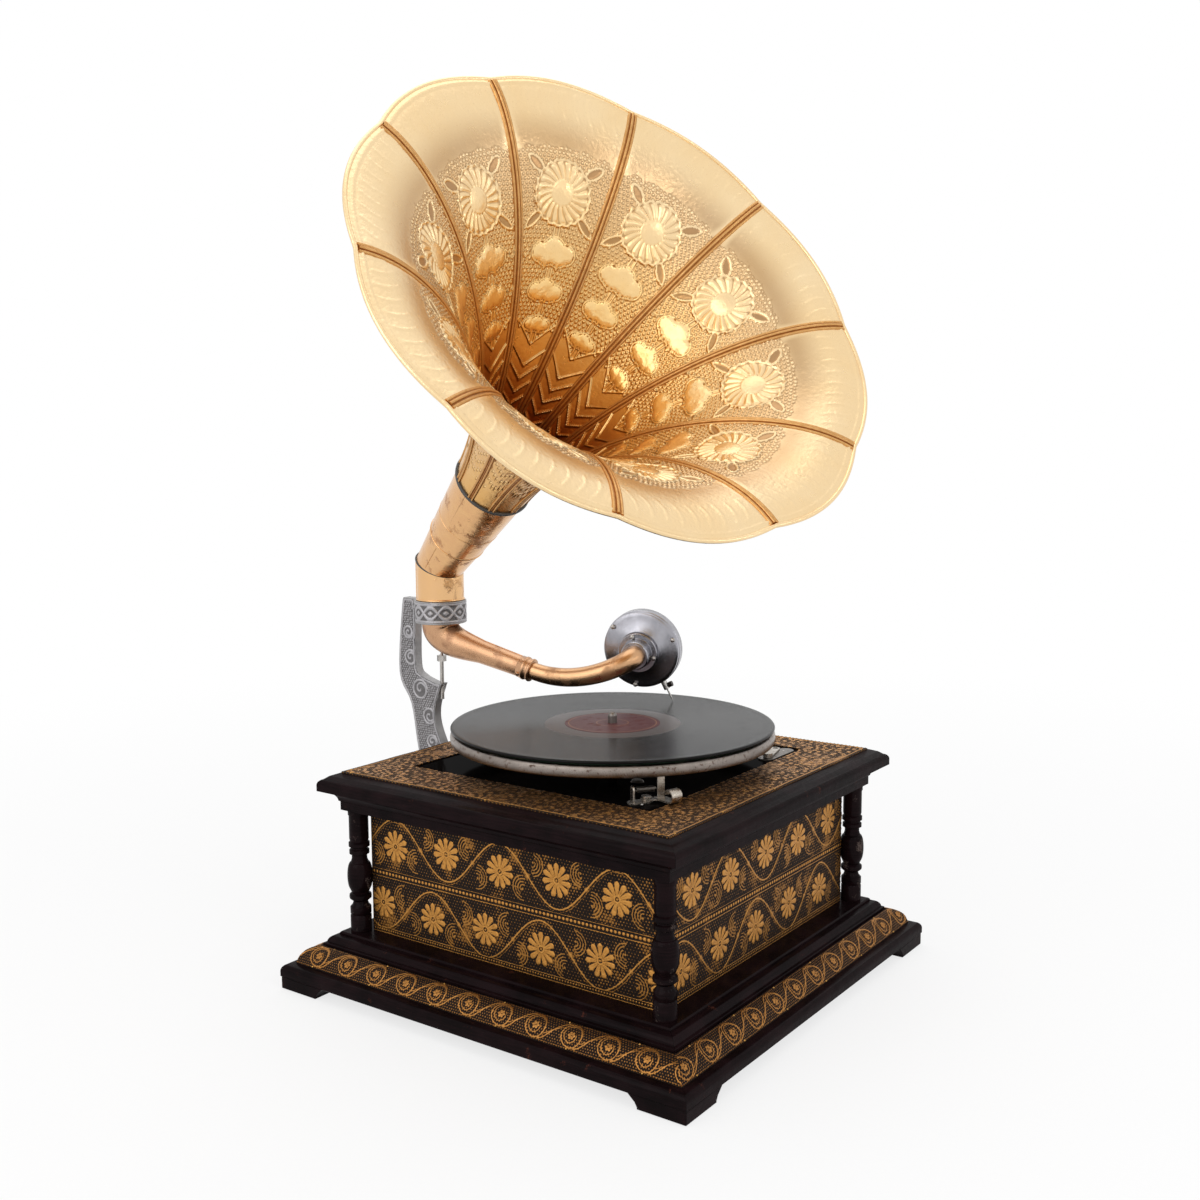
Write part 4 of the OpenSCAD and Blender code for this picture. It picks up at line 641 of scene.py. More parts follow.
panel_grid = 0.62
panel_u = np.linspace(-sheet_half, sheet_half, int(2 * sheet_half / panel_grid))
panel_z = np.linspace(case_z + 0.05, top_z - 0.05, int((top_z - case_z) / panel_grid))
u, z = np.meshgrid(panel_u, panel_z, indexing="ij")
for number, shift in enumerate((0.0, 0.0, 60.0, 60.0)):
    proud = side_pattern(u, z, shift)
    base = np.stack([-u, np.full_like(u, sheet_face), z], -1) @ quarter_turn(number)
    out = np.array((0.0, 1.0, 0.0)) @ quarter_turn(number)
    sheet = pressed_sheet(f"side_sheet_{number + 1}", base, out, proud, proud * 0.6 - 0.05, sheet_gilt)
    place_piece(sheet, "cabinet", "embossed_brass", "wall_sheets")


# Corner pillars: turned beech columns, stained black, notched over the corners of the case.
# Each has a plain base block, a bulb between pairs of rings, and a plain shaft.

def lathe(name, profile, finish, sides=64, crease=35, frame_of=None):
    """A turned piece: its profile is radius and height, closed on the axis or as a ring."""
    turns = [2 * math.pi * k / sides for k in range(sides)]
    points = [(r * math.cos(turn), r * math.sin(turn), z) for turn in turns for r, z in profile]
    index = np.arange(len(points)).reshape(sides, -1)
    piece = make_mesh(name, points, quads(index, True, True).tolist(), finish, crease)
    if frame_of is not None:
        piece.data.transform(frame_of)
    outward(piece, merge=True)
    return piece


pillar_wood = lacquer("scuffed_pillar_wood", "#0d0708", "#1c1012", "#6a5c56", 0.20, 0.80)
pillar_r = 8.1
pillar_h = top_z - case_z
pillar_axis = case_half + 6.6
block_rings = ((0, 0.13), (-0.8, 0.14), (0, 0.15))
lower_rings = ((0, 0), (-1.8, 2), (-2.6, 4.6), (-0.8, 6), (0.3, 7), (0.5, 8.5), (0.3, 10), (-1.6, 11.4))
upper_rings = ((-2.2, 0.6), (-2.2, 0.63), (-0.4, 0.64), (-0.4, 0.67), (-1.6, 0.68), (-1.6, 0.69), (0, 0.70),
    (0, 0.73), (-1.2, 0.74), (-0.6, 0.76), (-0.6, 0.95), (0, 0.96))
pillar_profile = [(0.01, 0), (pillar_r, 0)]
pillar_profile += [(pillar_r + inset, share * pillar_h) for inset, share in block_rings]
pillar_profile += [(pillar_r + inset, 0.2 * pillar_h + rise) for inset, rise in lower_rings]
pillar_profile += arc((pillar_r - 1.2, 0.455 * pillar_h), 2.8, 11, -50, 90, 14)
pillar_profile += [(pillar_r + inset, share * pillar_h) for inset, share in upper_rings]
pillar_profile += [(pillar_r, pillar_h - 0.02), (0.01, pillar_h - 0.02)]
for number, (px, py) in enumerate(corners, 1):
    place = Matrix.Translation(Vector((px * pillar_axis, py * pillar_axis, case_z + 0.01)) * mm)
    pillar = lathe(f"corner_pillar_{number}", pillar_profile, pillar_wood, 64, 40, place)
    place_piece(pillar, "cabinet", "lacquered_wood", "corner_pillars")


# Top frame: four planed mouldings with a rolled nose, mitred at the corners.
# The lacquer is worn at the nose, and a little redder where hands have rubbed it.

top_half = 162.5
fascia = top_half - 12.5
fascia_z = top_z + 6.5
nose_r = 4.6
nose_z = deck_z - 1.5 - nose_r * 1.6
frame_in = 126
frame_profile = [(case_half - 10, top_z), (fascia, top_z), (fascia, fascia_z)]
frame_profile += arc((top_half, fascia_z), fascia + 1 - top_half, nose_z - nose_r - fascia_z, 5, 90, 17)
frame_profile += arc((top_half - nose_r, nose_z), nose_r, nose_r, 0, 80)
frame_profile += [(top_half - 7, deck_z - 2), (top_half - 10, deck_z - 0.9), (top_half - 12.5, deck_z)]
frame_profile += [(frame_in, deck_z), (frame_in, top_z + 4)]
place_piece(rails("top_frame", frame_profile, dark_wood, 30), "cabinet", "lacquered_wood", "top_frame")

deck_left, deck_front = -105.0, -106.0
deck_right, deck_back = 117.0, 116.0
bar_end = frame_in + 0.5
for side, low, high in (
        ("left", (-bar_end, -bar_end), (deck_left, bar_end)),
        ("right", (deck_right, -bar_end), (bar_end, bar_end)),
        ("front", (deck_left, -bar_end), (deck_right, deck_front)),
        ("back", (deck_left, deck_back), (deck_right, bar_end))):
    levels = box_levels((*low, deck_z - 19), (*high, deck_z - 0.05))
    bar = stacked(f"frame_filler_{side}", levels, dark_wood)
    ease(bar, 0.4)
    place_piece(bar, "cabinet", "lacquered_wood")


# Top sheet: pressed brass nailed round the opening, with dense leaves and small flowers.
# Its inner edge is uneven and stands up a little from the board.

leaf_gilt = gilt_sheet("gilt_top_sheet", "#b87d3a", "#eeb468", "#0b0605", 0.26)
leaf_pitch = 8.6
leaf_grid = 0.66
leaf_scale = 1.7
leaf_shake = 3.4
sheet_out = top_half - 13.5


def turned(x, y, angle):
    """Two coordinates in a frame that is turned by an angle."""
    return x * np.cos(angle) + y * np.sin(angle), y * np.cos(angle) - x * np.sin(angle)


def leaf_field(u, v):
    """Packed leaves, each a pointed ridge with a vein, laid in a winding order."""
    proud = np.zeros_like(u)
    for row_step in (-1, 0, 1):
        row = np.round(v / leaf_pitch) + row_step
        offset = (row % 2) * 0.5
        for column_step in (-1, 0, 1):
            column = np.round((u - offset * leaf_pitch) / leaf_pitch) + column_step
            wander = chance(column, row)
            other = np.mod(wander * 7.31, 1.0)
            du = u - (column + offset) * leaf_pitch - (wander - 0.5) * leaf_shake
            dv = v - row * leaf_pitch - (other - 0.5) * leaf_shake
            x, y = turned(du, dv, wander * 2 * math.pi)
            for fold in (-0.75, 0.0, 0.75):
                along, aside = turned(x, y, fold)
                width = 1.75 * np.clip(1 - ((along - 2.7) / 3.7) ** 2, 0, 1)
                leaf = np.clip((width - np.abs(aside)) / 0.9, 0, 1)
                proud = np.maximum(proud, leaf * (0.62 + 0.38 * other - 0.45 * hills(aside, 0.4)))
            proud = np.maximum(proud, hills(np.hypot(x + 0.6, y), 1.1) * 0.9)
    return proud


for side, low, high in (
        ("front", (-sheet_out, -sheet_out), (sheet_out, deck_front)),
        ("back", (-sheet_out, deck_back), (sheet_out, sheet_out)),
        ("left", (-sheet_out, deck_front), (deck_left, deck_back)),
        ("right", (deck_right, deck_front), (sheet_out, deck_back))):
    axes = [np.linspace(a, b, int((b - a) / leaf_grid) + 1) for a, b in zip(low, high)]
    u, v = np.meshgrid(*axes, indexing="ij")
    rim = sheet_out - np.maximum(np.abs(u), np.abs(v))
    border = np.maximum(hills(rim - 2.6, 0.5), stipple(u, v, 2.0, 0.8) * 0.6)
    leaves = leaf_field(u * leaf_scale, v * leaf_scale)
    leaves = np.maximum(leaves, stipple(u, v, 1.9, 0.85) * 0.66)
    proud = np.where(rim < 3.4, border, leaves)
    wave = 0.10 * (1 + np.sin(u * 0.11 + np.cos(v * 0.07) * 2)) + 0.22 * np.exp(-rim / 3)
    base = np.stack([u, v, np.full_like(u, deck_z + 0.55)], -1)
    height = proud * 0.55 + wave - 0.15
    sheet = pressed_sheet(f"top_sheet_{side}", base, np.array((0.0, 0.0, 1.0)), proud, height, leaf_gilt, 0.5)
    place_piece(sheet, "cabinet", "embossed_brass", "top_sheet")


# Motor board: a flat board that drops into the frame and carries the whole motor.
# It is painted glossy black, with a few faint brown spots.

board = Finish("motor_board_paint", Coat_Roughness=0.08, Specular_IOR_Level=0.0)
dust = board.cloud(0.08, 5)
specks = board.between(board.cells(0.22), 0.10, 0.05) * board.between(board.cloud(0.06, 3), 0.5, 0.7)
base = board.over(board.mix(dust, "#060505", "#100d0c"), (specks * 0.5, "#4b3a2c"))
coat = 0.045 - 0.04 * specks
paint_node(board.done(base, 0.22 + 0.25 * dust, board.cloud(0.5, 4), 0.10, Coat_Weight=coat), "motor_board")


# Turntable: a pressed steel platter with a rolled rim, nickelled and spotted with rust.
# A disc of green felt is glued on it, and the record lies on the felt over the steel spindle.

def metal(name, dark, light, rough, spots="#4a3526", spotted=0.0, grain=0.15):
    """Bare or plated metal: cloudy tone, fine scratches, and spots of dirt or rust."""
    finish = Finish(name)
    tone = finish.cloud(0.09, 5)
    fine = finish.cloud(2.2, 5)
    patch = finish.cloud(0.35, 6) + 0.2 * finish.cloud(2.0, 3)
    spot = finish.between(patch, 0.80 - spotted, 0.87 - spotted)
    base = finish.over(finish.mix(tone, dark, light), (spot * 0.8, spots))
    rough = rough + 0.14 * fine + 0.35 * spot
    return finish.done(base, rough, fine + tone + spot * 0.4, grain, Metallic=1.0 - 0.6 * spot)


def cloth(name, dark, light, weave, depth):
    """Felt, paper, leather or rubber: a matt surface with a fine grain."""
    finish = Finish(name, Specular_IOR_Level=0.25)
    grain = finish.cloud(weave, 5)
    base = finish.mix(finish.cloud(0.07, 4) * 0.6 + grain * 0.4, dark, light)
    return finish.done(base, 0.72 + 0.2 * grain, grain, depth)


platter_steel = metal("platter_steel", "#6a625d", "#a0968e", 0.22, "#4f3422", 0.11, 0.2)
bright_steel = metal("bright_steel", "#9b9691", "#cfcbc6", 0.22, "#4a3a30", 0.02)
felt_cloth = cloth("green_felt", "#23382a", "#34523d", 2.4, 0.35)
felt_z = 195.3
record_z = 196.8
record_top = 199.0
record_r = 127.0
spindle_r = 3.55
hole_r = spindle_r + 0.1
platter = lathe("platter", [
    (spindle_r, felt_z), (125, felt_z), (126.2, felt_z - 0.5), (127, felt_z - 2), (127.4, 191), (127, 187.7),
    (126.5, 187), (126, 186.7), (125, 186.9), (124.4, 187.7), (124.4, 193.7), (14, 193.7), (12, 186.3),
    (spindle_r, 186.3)], platter_steel, 192, 40)
place_piece(platter, "turntable", "platter_steel", "platter")
felt = lathe("felt_mat", [
    (spindle_r, felt_z), (122, felt_z), (122.4, felt_z + 0.6), (122, record_z), (spindle_r, record_z)],
    felt_cloth, 96)
place_piece(felt, "turntable", "felt", "felt_mat")


def disc_finish(name, gloss):
    """A finish for a disc on the turntable, and the distance from the disc's middle in it."""
    finish = Finish(name, Specular_IOR_Level=gloss)
    x, y, z = finish.axes()
    return finish, (x * x + y * y) ** 0.5


shellac, far = disc_finish("record_shellac", 0.10)
rings = shellac.cloud(0.9, 5, place=shellac.point(far, 0.0, 0.0))
fine = shellac.cloud(3.4, 2, place=shellac.point(far, 0.0, 0.0))
dust = shellac.between(shellac.cloud(0.09, 6), 0.50, 0.75)
worn = shellac.between(far, 54.2, 53.0)
base = shellac.mix(rings, "#080808", "#131212")
base = shellac.over(base, (dust * 0.10, "#3c3835"), (worn * 0.9, "#5e5857"))
rough = 0.16 + 0.12 * rings + 0.04 * dust + 0.1 * worn
record_black = shellac.done(base, rough, rings + fine * 0.7 * (1.0 - worn), 0.14)

groove_first = 55.0
groove_last = 121.0
groove_lines = 88
groove_step = (groove_last - groove_first) / groove_lines
groove_z = record_top - 0.12
record_face = record_top - 0.02
profile = [(hole_r, record_z), (126, record_z), (record_r, record_z + 0.77), (record_r, record_z + 1.43)]
profile += [(126.4, record_top - 0.1), (125.2, record_top), (122.4, record_top)]
profile += [(groove_last - groove_step * i, groove_z + 0.05 * (i % 2)) for i in range(groove_lines + 1)]
profile += [(53.6, groove_z), (53, record_face), (37.6, record_face), (hole_r, record_face)]
place_piece(lathe("record", profile, record_black, 128, 80), "turntable", "shellac", "record")

# the label is plain maroon paper with two printed rings, browned and rubbed
paper, far = disc_finish("label_paper", 0.3)
rings = paper.between(abs(far - 34.6), 0.55, 0.35) + paper.between(abs(far - 12.5), 0.5, 0.3)
rub = paper.between(paper.cloud(0.11, 6), 0.5, 0.75)
base = paper.mix(paper.cloud(0.5, 5), "#431a1e", "#5c2a2c")
base = paper.over(base, (rings * 0.5, "#a0744e"), (rub * 0.35, "#6f4a42"))
label_paper = paper.done(base, 0.45 + 0.25 * rub, paper.cloud(1.8, 4), 0.08)
label_low = record_top - 0.03
label_top = record_top + 0.15
label = lathe("record_label", [
    (hole_r, label_low), (37.5, label_low), (37.4, label_top), (hole_r, label_top)], label_paper, 96)
place_piece(label, "turntable", "label_paper", "record_label")
paint_node(metal("spindle_steel", "#625d59", "#8d8782", 0.24), "spindle")


# Brake: a nickelled plate with a tab, a lever on a rivet, a leather shoe, and a wound spring.
# The lever's end is a curled finger strip, and the spring pulls the shoe to the platter's rim.

def eased_node(node, kind, finish, width, body, slot):
    """A CAD piece's own form with its points merged and its edges eased, in another finish."""
    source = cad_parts[node]
    mesh = source.data.copy()
    mesh.transform(source.matrix_world)
    shell = bmesh.new()
    shell.from_mesh(mesh)
    bmesh.ops.remove_doubles(shell, verts=shell.verts, dist=2e-6)
    bmesh.ops.dissolve_limit(shell, angle_limit=math.radians(0.6), verts=shell.verts, edges=shell.edges)
    bmesh.ops.recalc_face_normals(shell, faces=shell.faces)
    shell.to_mesh(mesh)
    shell.free()
    mesh.name = f"{node}_{kind}"
    mesh.shade_smooth()
    mesh.set_sharp_from_angle(angle=math.radians(30))
    mesh.materials.clear()
    mesh.materials.append(finish)
    made = bpy.data.objects.new(mesh.name, mesh)
    scene.collection.objects.link(made)
    eased = ease(made, width)
    eased.limit_method = "ANGLE"
    eased.angle_limit = math.radians(35)
    eased.harden_normals = False
    place_piece(made, body, slot, node)


nickel = metal("worn_nickel", "#8f8579", "#cfc7bc", 0.20, "#57402c", 0.10)
dark_nickel = metal("dark_nickel", "#57514c", "#857e77", 0.26, "#33261c", 0.08)
leather = cloth("leather", "#3d2a1e", "#5a402e", 1.6, 0.3)
eased_node("brake_plate", "finished", nickel, 0.18, "cabinet", "hardware_steel")
eased_node("brake_lever", "finished", nickel, 0.15, "brake", "hardware_steel")
eased_node("brake_pad", "finished", leather, 0.3, "brake", "leather")
eased_node("speed_plate", "finished", dark_nickel, 0.18, "cabinet", "hardware_steel")


def recipe(name, takes, kinds, links):
    """Geometry nodes by name and the links between them; what reaches real takes the finish."""
    tree = bpy.data.node_groups.new(name, "GeometryNodeTree")
    for label, kind in {**takes, "Finish": "Material"}.items():
        tree.interface.new_socket(label, in_out="INPUT", socket_type="NodeSocket" + kind)
    tree.interface.new_socket("Piece", in_out="OUTPUT", socket_type="NodeSocketGeometry")
    kinds = {**kinds, "real": "RealizeInstances", "dress": "SetMaterial"}
    nodes = {label: tree.nodes.new("GeometryNode" + kind) for label, kind in kinds.items()}
    nodes["given"] = tree.nodes.new("NodeGroupInput")
    nodes["piece"] = tree.nodes.new("NodeGroupOutput")
    ending = [("real", 0, "dress", 0), ("given", "Finish", "dress", "Material"), ("dress", 0, "piece", 0)]
    for start, output, end, place in links + ending:
        tree.links.new(nodes[start].outputs[output], nodes[end].inputs[place])
    return tree, nodes


sweep_tree, sweep_nodes = recipe(
    "round_section", {"Lines": "Geometry", "Thickness": "Float", "Sides": "Int"},
    {"circle": "CurvePrimitiveCircle", "radius": "InputRadius", "sweep": "CurveToMesh",
        "smooth": "SetShadeSmooth"},
    [("given", "Thickness", "circle", "Radius"), ("given", "Sides", "circle", "Resolution"),
        ("given", "Lines", "sweep", "Curve"), ("circle", "Curve", "sweep", "Profile Curve"),
        ("radius", 0, "sweep", "Scale"), ("sweep", 0, "smooth", 0), ("smooth", 0, "real", 0)])
sweep_nodes["sweep"].inputs["Fill Caps"].default_value = True


def settled(name, data, tree, **values):
    """A plain mesh object of that name, made from data by a recipe's nodes."""
    live = bpy.data.objects.new(name + "_live", data)
    scene.collection.objects.link(live)
    modifier = live.modifiers.new("recipe", "NODES")
    modifier.node_group = tree
    for item in tree.interface.items_tree:
        if item.name in values:
            modifier[item.identifier] = values[item.name]
    bpy.context.view_layer.update()
    found = live.evaluated_get(bpy.context.evaluated_depsgraph_get())
    mesh = bpy.data.meshes.new_from_object(found)
    bpy.data.objects.remove(live)
    mesh.name = name
    made = bpy.data.objects.new(name, mesh)
    scene.collection.objects.link(made)
    return made


def round_line(name, lines, thickness, finish, sides=12, radii=None, closed=False):
    """Round wires or tubes along lines of points in millimetres, made by the sweep's nodes."""
    curve = bpy.data.curves.new(name + "_lines", "CURVE")
    curve.dimensions = "3D"
    for number, line in enumerate(lines):
        spline = curve.splines.new("POLY")
        spline.points.add(len(line) - 1)
        for i, p in enumerate(line):
            spline.points[i].co = (*[float(c) * mm for c in p], 1)
            spline.points[i].radius = 1.0 if radii is None else float(radii[number][i])
        spline.use_cyclic_u = closed
    return settled(name, curve, sweep_tree, Thickness=thickness * mm, Sides=sides, Finish=finish)


tab_place = np.array([-93.0, -83.0, 177.7])
spring_turn = math.radians(-36.7)
spring_len = 18.01
coil_curls = 14
coil_r = 1.95
coil_pitch = 0.95
wire_r = 0.27
lead = (spring_len - coil_curls * coil_pitch) / 2


def coil_place(curl):
    """A point of the spring's wire: a straight end winds out to the coil in one curl, and back."""
    share = min(1, curl, coil_curls + 2 - curl)
    lift = coil_r * (1 - math.cos(math.pi * share)) / 2
    turns = (0, 1, coil_curls + 1, coil_curls + 2)
    along = np.interp(curl, turns, (1, lead, spring_len - lead, spring_len - 1))
    return (along, lift * math.cos(2 * math.pi * curl), lift * math.sin(2 * math.pi * curl))


coil = [(0, 0, 0), (0.5, 0, 0)] + [coil_place(i / 16) for i in range(16 * (coil_curls + 2) + 1)]
coil += [(spring_len - 0.5, 0, 0), (spring_len, 0, 0)]
spring_line = np.array(coil) @ np.array(Matrix.Rotation(spring_turn, 3, "Z")).T + tab_place
spring_steel = metal("spring_steel", "#4d4843", "#8a847d", 0.24, "#33261c", 0.05)
spring = round_line("brake_spring_wound", [spring_line], wire_r, spring_steel, 8)
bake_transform(spring)
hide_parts("brake_spring")

studs_tree, studs_nodes = recipe(
    "studs", {"Places": "Geometry", "Stud": "Object"},
    {"stud": "ObjectInfo", "facing": "InputNamedAttribute", "spread": "InstanceOnPoints"},
    [("given", "Stud", "stud", "Object"), ("given", "Places", "spread", "Points"),
        ("stud", "Geometry", "spread", "Instance"), ("spread", 0, "real", 0)])
studs_nodes["facing"].data_type = "FLOAT_VECTOR"
studs_nodes["facing"].inputs["Name"].default_value = "facing"
stand = studs_tree.nodes.new("FunctionNodeAlignRotationToVector")
stand.axis = "Z"
studs_tree.links.new(studs_nodes["facing"].outputs["Attribute"], stand.inputs["Vector"])
studs_tree.links.new(stand.outputs["Rotation"], studs_nodes["spread"].inputs["Rotation"])


def studs(name, places, facings, profile, finish, sides=16):
    """Turned studs, such as rivets or screw heads, on points in millimetres, made by the nodes."""
    stud = lathe(name + "_stud", profile, finish, sides, 40)
    mesh = bpy.data.meshes.new(name + "_places")
    mesh.from_pydata((np.asarray(places, float) * mm).tolist(), [], [])
    kept = mesh.attributes.new("facing", "FLOAT_VECTOR", "POINT")
    kept.data.foreach_set("vector", np.asarray(facings, np.float32).ravel())
    made = settled(name, mesh, studs_tree, Stud=stud, Finish=finish)
    bpy.data.objects.remove(stud)
    return made


rivet = [(0.01, -0.4), (1.0, -0.4), (1.0, 0), (0.85, 0.32), (0.5, 0.52), (0.01, 0.6)]


# Sheet nails: small round-headed brass nails that hold the pressed sheets to the wood.
# They stand along both edges of each base strip, and along the outer edge of the top sheet.

nail_brass = metal("nail_brass", "#8d6530", "#d9a75c", 0.28, "#3a2514", 0.06)
nail_step = 61.0
nail_places = []
nail_facings = []
for number in range(4):
    for share, lift in ((0.05, 0.15), (0.95, 0.1)):
        far, level = slope_place(share)
        for step in (-2.4, -1.4, -0.4, 0.6, 1.6, 2.6):
            along = step * nail_step * far / base_out
            nail_places.append((along, far + lift, level + lift) @ quarter_turn(number))
            nail_facings.append((0, 0.69, 0.72) @ quarter_turn(number))
    for step in (-2.3, -1.1, 0.1, 1.3, 2.3):
        nail_places.append((step * nail_step, sheet_out - 1.5, deck_z + 1.0) @ quarter_turn(number))
        nail_facings.append((0, 0, 1))
nail_head = [(r * 0.85, z * 0.8) for r, z in rivet]
nails = studs("sheet_nails", nail_places, nail_facings, nail_head, nail_brass, 14)
place_piece(nails, "cabinet", "embossed_brass")


# Speed control: a dark nickelled plate at the front right, and a lever that turns on a shaft.
# Under the board the same shaft carries an arm with a leather pad for the governor's disc.

eased_node("speed_lever", "finished", nickel, 0.15, "speed_control", "hardware_steel")
paint_node(leather, "friction_pad")
rivet_places = [(102, -97, 169.2), (-94.5, -91.5, 169.4), (-76, -81.5, 169.4)]
plate_rivets = studs("plate_rivets", rivet_places, [(0, 0, 1)] * 3, rivet, bright_steel)
place_piece(plate_rivets, "cabinet", "hardware_steel")


# Horn bracket: one grey aluminium casting, with a foot plate, a curved arm and a ring.
# Its faces have a cast border, scrolls and a punched ground; two screws hold it to the back.

def cast_metal(name, dark, light, recess_shade):
    """Sand-cast aluminium: dull and cloudy, pitted, and darker in its recesses with dirt and painted shade.
    """
    finish = Finish(name)
    tone = finish.cloud(0.12, 5)
    pits = finish.cloud(1.6, 6)
    # the recesses are painted darker: dirt and painted shade
    dirt_and_shade = finish.between(finish.mark("proud"), 0.5, 0.05) * recess_shade
    base = finish.over(finish.mix(tone, dark, light), (dirt_and_shade, "#4b4846"))
    return finish.done(base, 0.34 + 0.2 * pits, pits + tone, 0.35, Metallic=0.75 + 0.2 * tone)


aluminium = cast_metal("cast_aluminium", "#8b8a8b", "#b5b3b3", 0.0)
relief_aluminium = cast_metal("cast_aluminium_relief", "#8f8d90", "#c6c3c5", 0.8)
eased_node("horn_bracket", "cast", aluminium, 0.5, "cabinet", "cast_aluminium")


def smooth_line(points, steps=6):
    """A Catmull-Rom line through the points."""
    points = [np.array(p, float) for p in points]
    padded = [2 * points[0] - points[1]] + points + [2 * points[-1] - points[-2]]
    line = []
    for a, b, c, d in zip(padded, padded[1:], padded[2:], padded[3:]):
        for t in np.arange(steps) / steps:
            bend = (2 * a - 5 * b + 4 * c - d) * t ** 2 + (3 * b - a - 3 * c + d) * t ** 3
            line.append(0.5 * (2 * b + (c - a) * t + bend))
    return line + [points[-1]]


def edge_distance(px, py, outline):
    """Distance to an outline from grid points, positive inside it."""
    best = np.full(px.shape, 1e9)
    inside = np.zeros(px.shape, bool)
    for (ax, ay), (bx, by) in zip(outline, outline[1:] + outline[:1]):
        ex, ey = bx - ax, by - ay
        t = np.clip(((px - ax) * ex + (py - ay) * ey) / max(ex * ex + ey * ey, 1e-9), 0, 1)
        best = np.minimum(best, np.hypot(px - ax - t * ex, py - ay - t * ey))
        crosses = (ay > py) != (by > py)
        inside ^= crosses & (px < ax + (py - ay) * ex / (ey if abs(ey) > 1e-9 else 1e-9))
    return np.where(inside, best, -best)


pivot_y = 179.4
arm_face = 4.02
arm_relief = 0.75
ring_r = 21.42
ring_z = 266.2
ring_h = 17.2
arm_outline = smooth_line([
    (38, 284), (41.5, 277), (46.4, 218), (33, 191), (26, 153), (18, 136), (-40.4, 81.5)])
arm_outline += smooth_line([(-40.4, 117.5), (-16, 135.5), (-3, 158), (4.6, 176), (5, 191), (-1.6, 210)])
arm_outline += [(-2.6, 212)] + smooth_line([(4.8, 212), (20, 217), (26.6, 226), (26, 265.5)])
arm_outline += [(26.2, 272), (28, 284)]
arm_grid = 0.62
gy, gz = np.meshgrid(np.arange(-40, 47, arm_grid), np.arange(128, 284, arm_grid), indexing="ij")
edge = edge_distance(gy, gz, arm_outline)
relief = stipple(gy, gz, 2.3, 0.95, 0.3) * 0.45
for middle_y, middle_z, turn, size in (
        (33, 232, 1, 6.0), (35, 254, -1, 5.0), (22, 205, 1, 8.0), (12, 182, -1, 6.5), (9, 160, 1, 5.5)):
    far = np.hypot(gy - middle_y, gz - middle_z)
    around = np.arctan2(gz - middle_z, gy - middle_y) * turn
    curl = np.mod(far - size * 0.42 * around / math.pi, size * 0.84) - size * 0.42
    relief = np.where(far < size, np.maximum(hills(curl, 0.85), 0.12), relief)
    relief = np.maximum(relief, hills(far - size, 0.8) * (around > -2.2))
relief = np.maximum(relief * np.clip((edge - 2.2) / 0.8, 0, 1), hills(edge - 1.5, 0.8))
cells = quads(np.arange(gy.size).reshape(gy.shape))
cells = cells[(edge > 0.4).ravel()[cells].all(axis=1)]
used, cells = np.unique(cells, return_inverse=True)
cells = cells.reshape(-1, 4)
for name, side, faces in (("left", -1, cells[:, ::-1]), ("right", 1, cells)):
    face = side * (arm_face + arm_relief * relief * np.clip(edge, 0, 1))
    points = np.stack([face, gy + pivot_y, gz], -1)
    points = points.reshape(-1, 3)[used]
    casting = make_mesh(f"bracket_relief_{name}", points, faces.tolist(), relief_aluminium, 60)
    mark_points(casting, "proud", relief.ravel()[used])
    place_piece(casting, "cabinet", "cast_aluminium")

# the ring's outside has a woven band between two hoops
turns = np.linspace(0, 2 * math.pi, 301)
angle, height = np.meshgrid(turns, np.linspace(0, 1, 26), indexing="ij")
across = (height - 0.5) * 2
strand = 0.6 * np.sin(5 * angle)
eye = np.abs(np.mod(5 * angle / math.pi, 1.0) - 0.5)
weave = 0.9 * np.maximum.reduce([
    hills(across - strand, 0.2), hills(across + strand, 0.2), 0.8 * hills(np.abs(across) * 0.8 + eye, 0.22),
    hills(np.abs(across) - 0.86, 0.12)])
ring_out = ring_r + 0.8 * weave
band_z = ring_z + ring_h * height
points = np.stack([np.cos(angle) * ring_out, np.sin(angle) * ring_out + pivot_y, band_z], -1)
faces = quads(np.arange(weave.size).reshape(weave.shape)).tolist()
ring_band = make_mesh("bracket_ring_band", points.reshape(-1, 3), faces, relief_aluminium, 60)
mark_points(ring_band, "proud", weave)
place_piece(ring_band, "cabinet", "cast_aluminium")


def full_turn(count):
    """Angles all the way round."""
    return np.linspace(0, 2 * math.pi, count + 1)[:-1]


hoop_r = ring_r - 0.12
for level in (ring_z - 0.3, ring_z + ring_h + 0.2):
    line = [(hoop_r * math.cos(a), hoop_r * math.sin(a) + pivot_y, level) for a in full_turn(120)]
    hoop = round_line(f"bracket_hoop_{int(level)}", [line], 0.8, aluminium, 10, closed=True)
    place_piece(hoop, "cabinet", "cast_aluminium")
paint_node(bright_steel, "bracket_screws", "pivot_screw", "pivot_nut")


# Tonearm: one bent brass tube that hangs from the ring, wide at its top and narrow at its end.
# It is drawn from sheet, with a folded seam on top, and its lacquer has browned in smears.

def tube_brass(name, clean, bright, stained, rough):
    finish = Finish(name)
    smear = finish.cloud(0.06, 6)
    fine = finish.cloud(1.4, 5)
    stain = finish.between(smear * 0.8 + fine * 0.25, 0.56, 0.72)
    base = finish.over(finish.mix(finish.cloud(0.03, 3), clean, bright), (stain * 0.6, stained))
    rough = rough + 0.12 * fine + 0.22 * stain
    return finish.done(base, rough, fine * 0.5 + smear, 0.3, Metallic=1.0 - 0.25 * stain)


def bezier(corners, share):
    """Points of a smooth line from the first corner to the last, drawn by the corners between."""
    t = np.asarray(share, float)[..., None]
    degree = len(corners) - 1
    return sum(math.comb(degree, k) * (1 - t) ** (degree - k) * t ** k * np.array(corner, float)
        for k, corner in enumerate(corners))


def spun(degrees, axis):
    return Matrix.Rotation(math.radians(degrees), 4, axis)


def moved(*place):
    return Matrix.Translation(Vector(place))


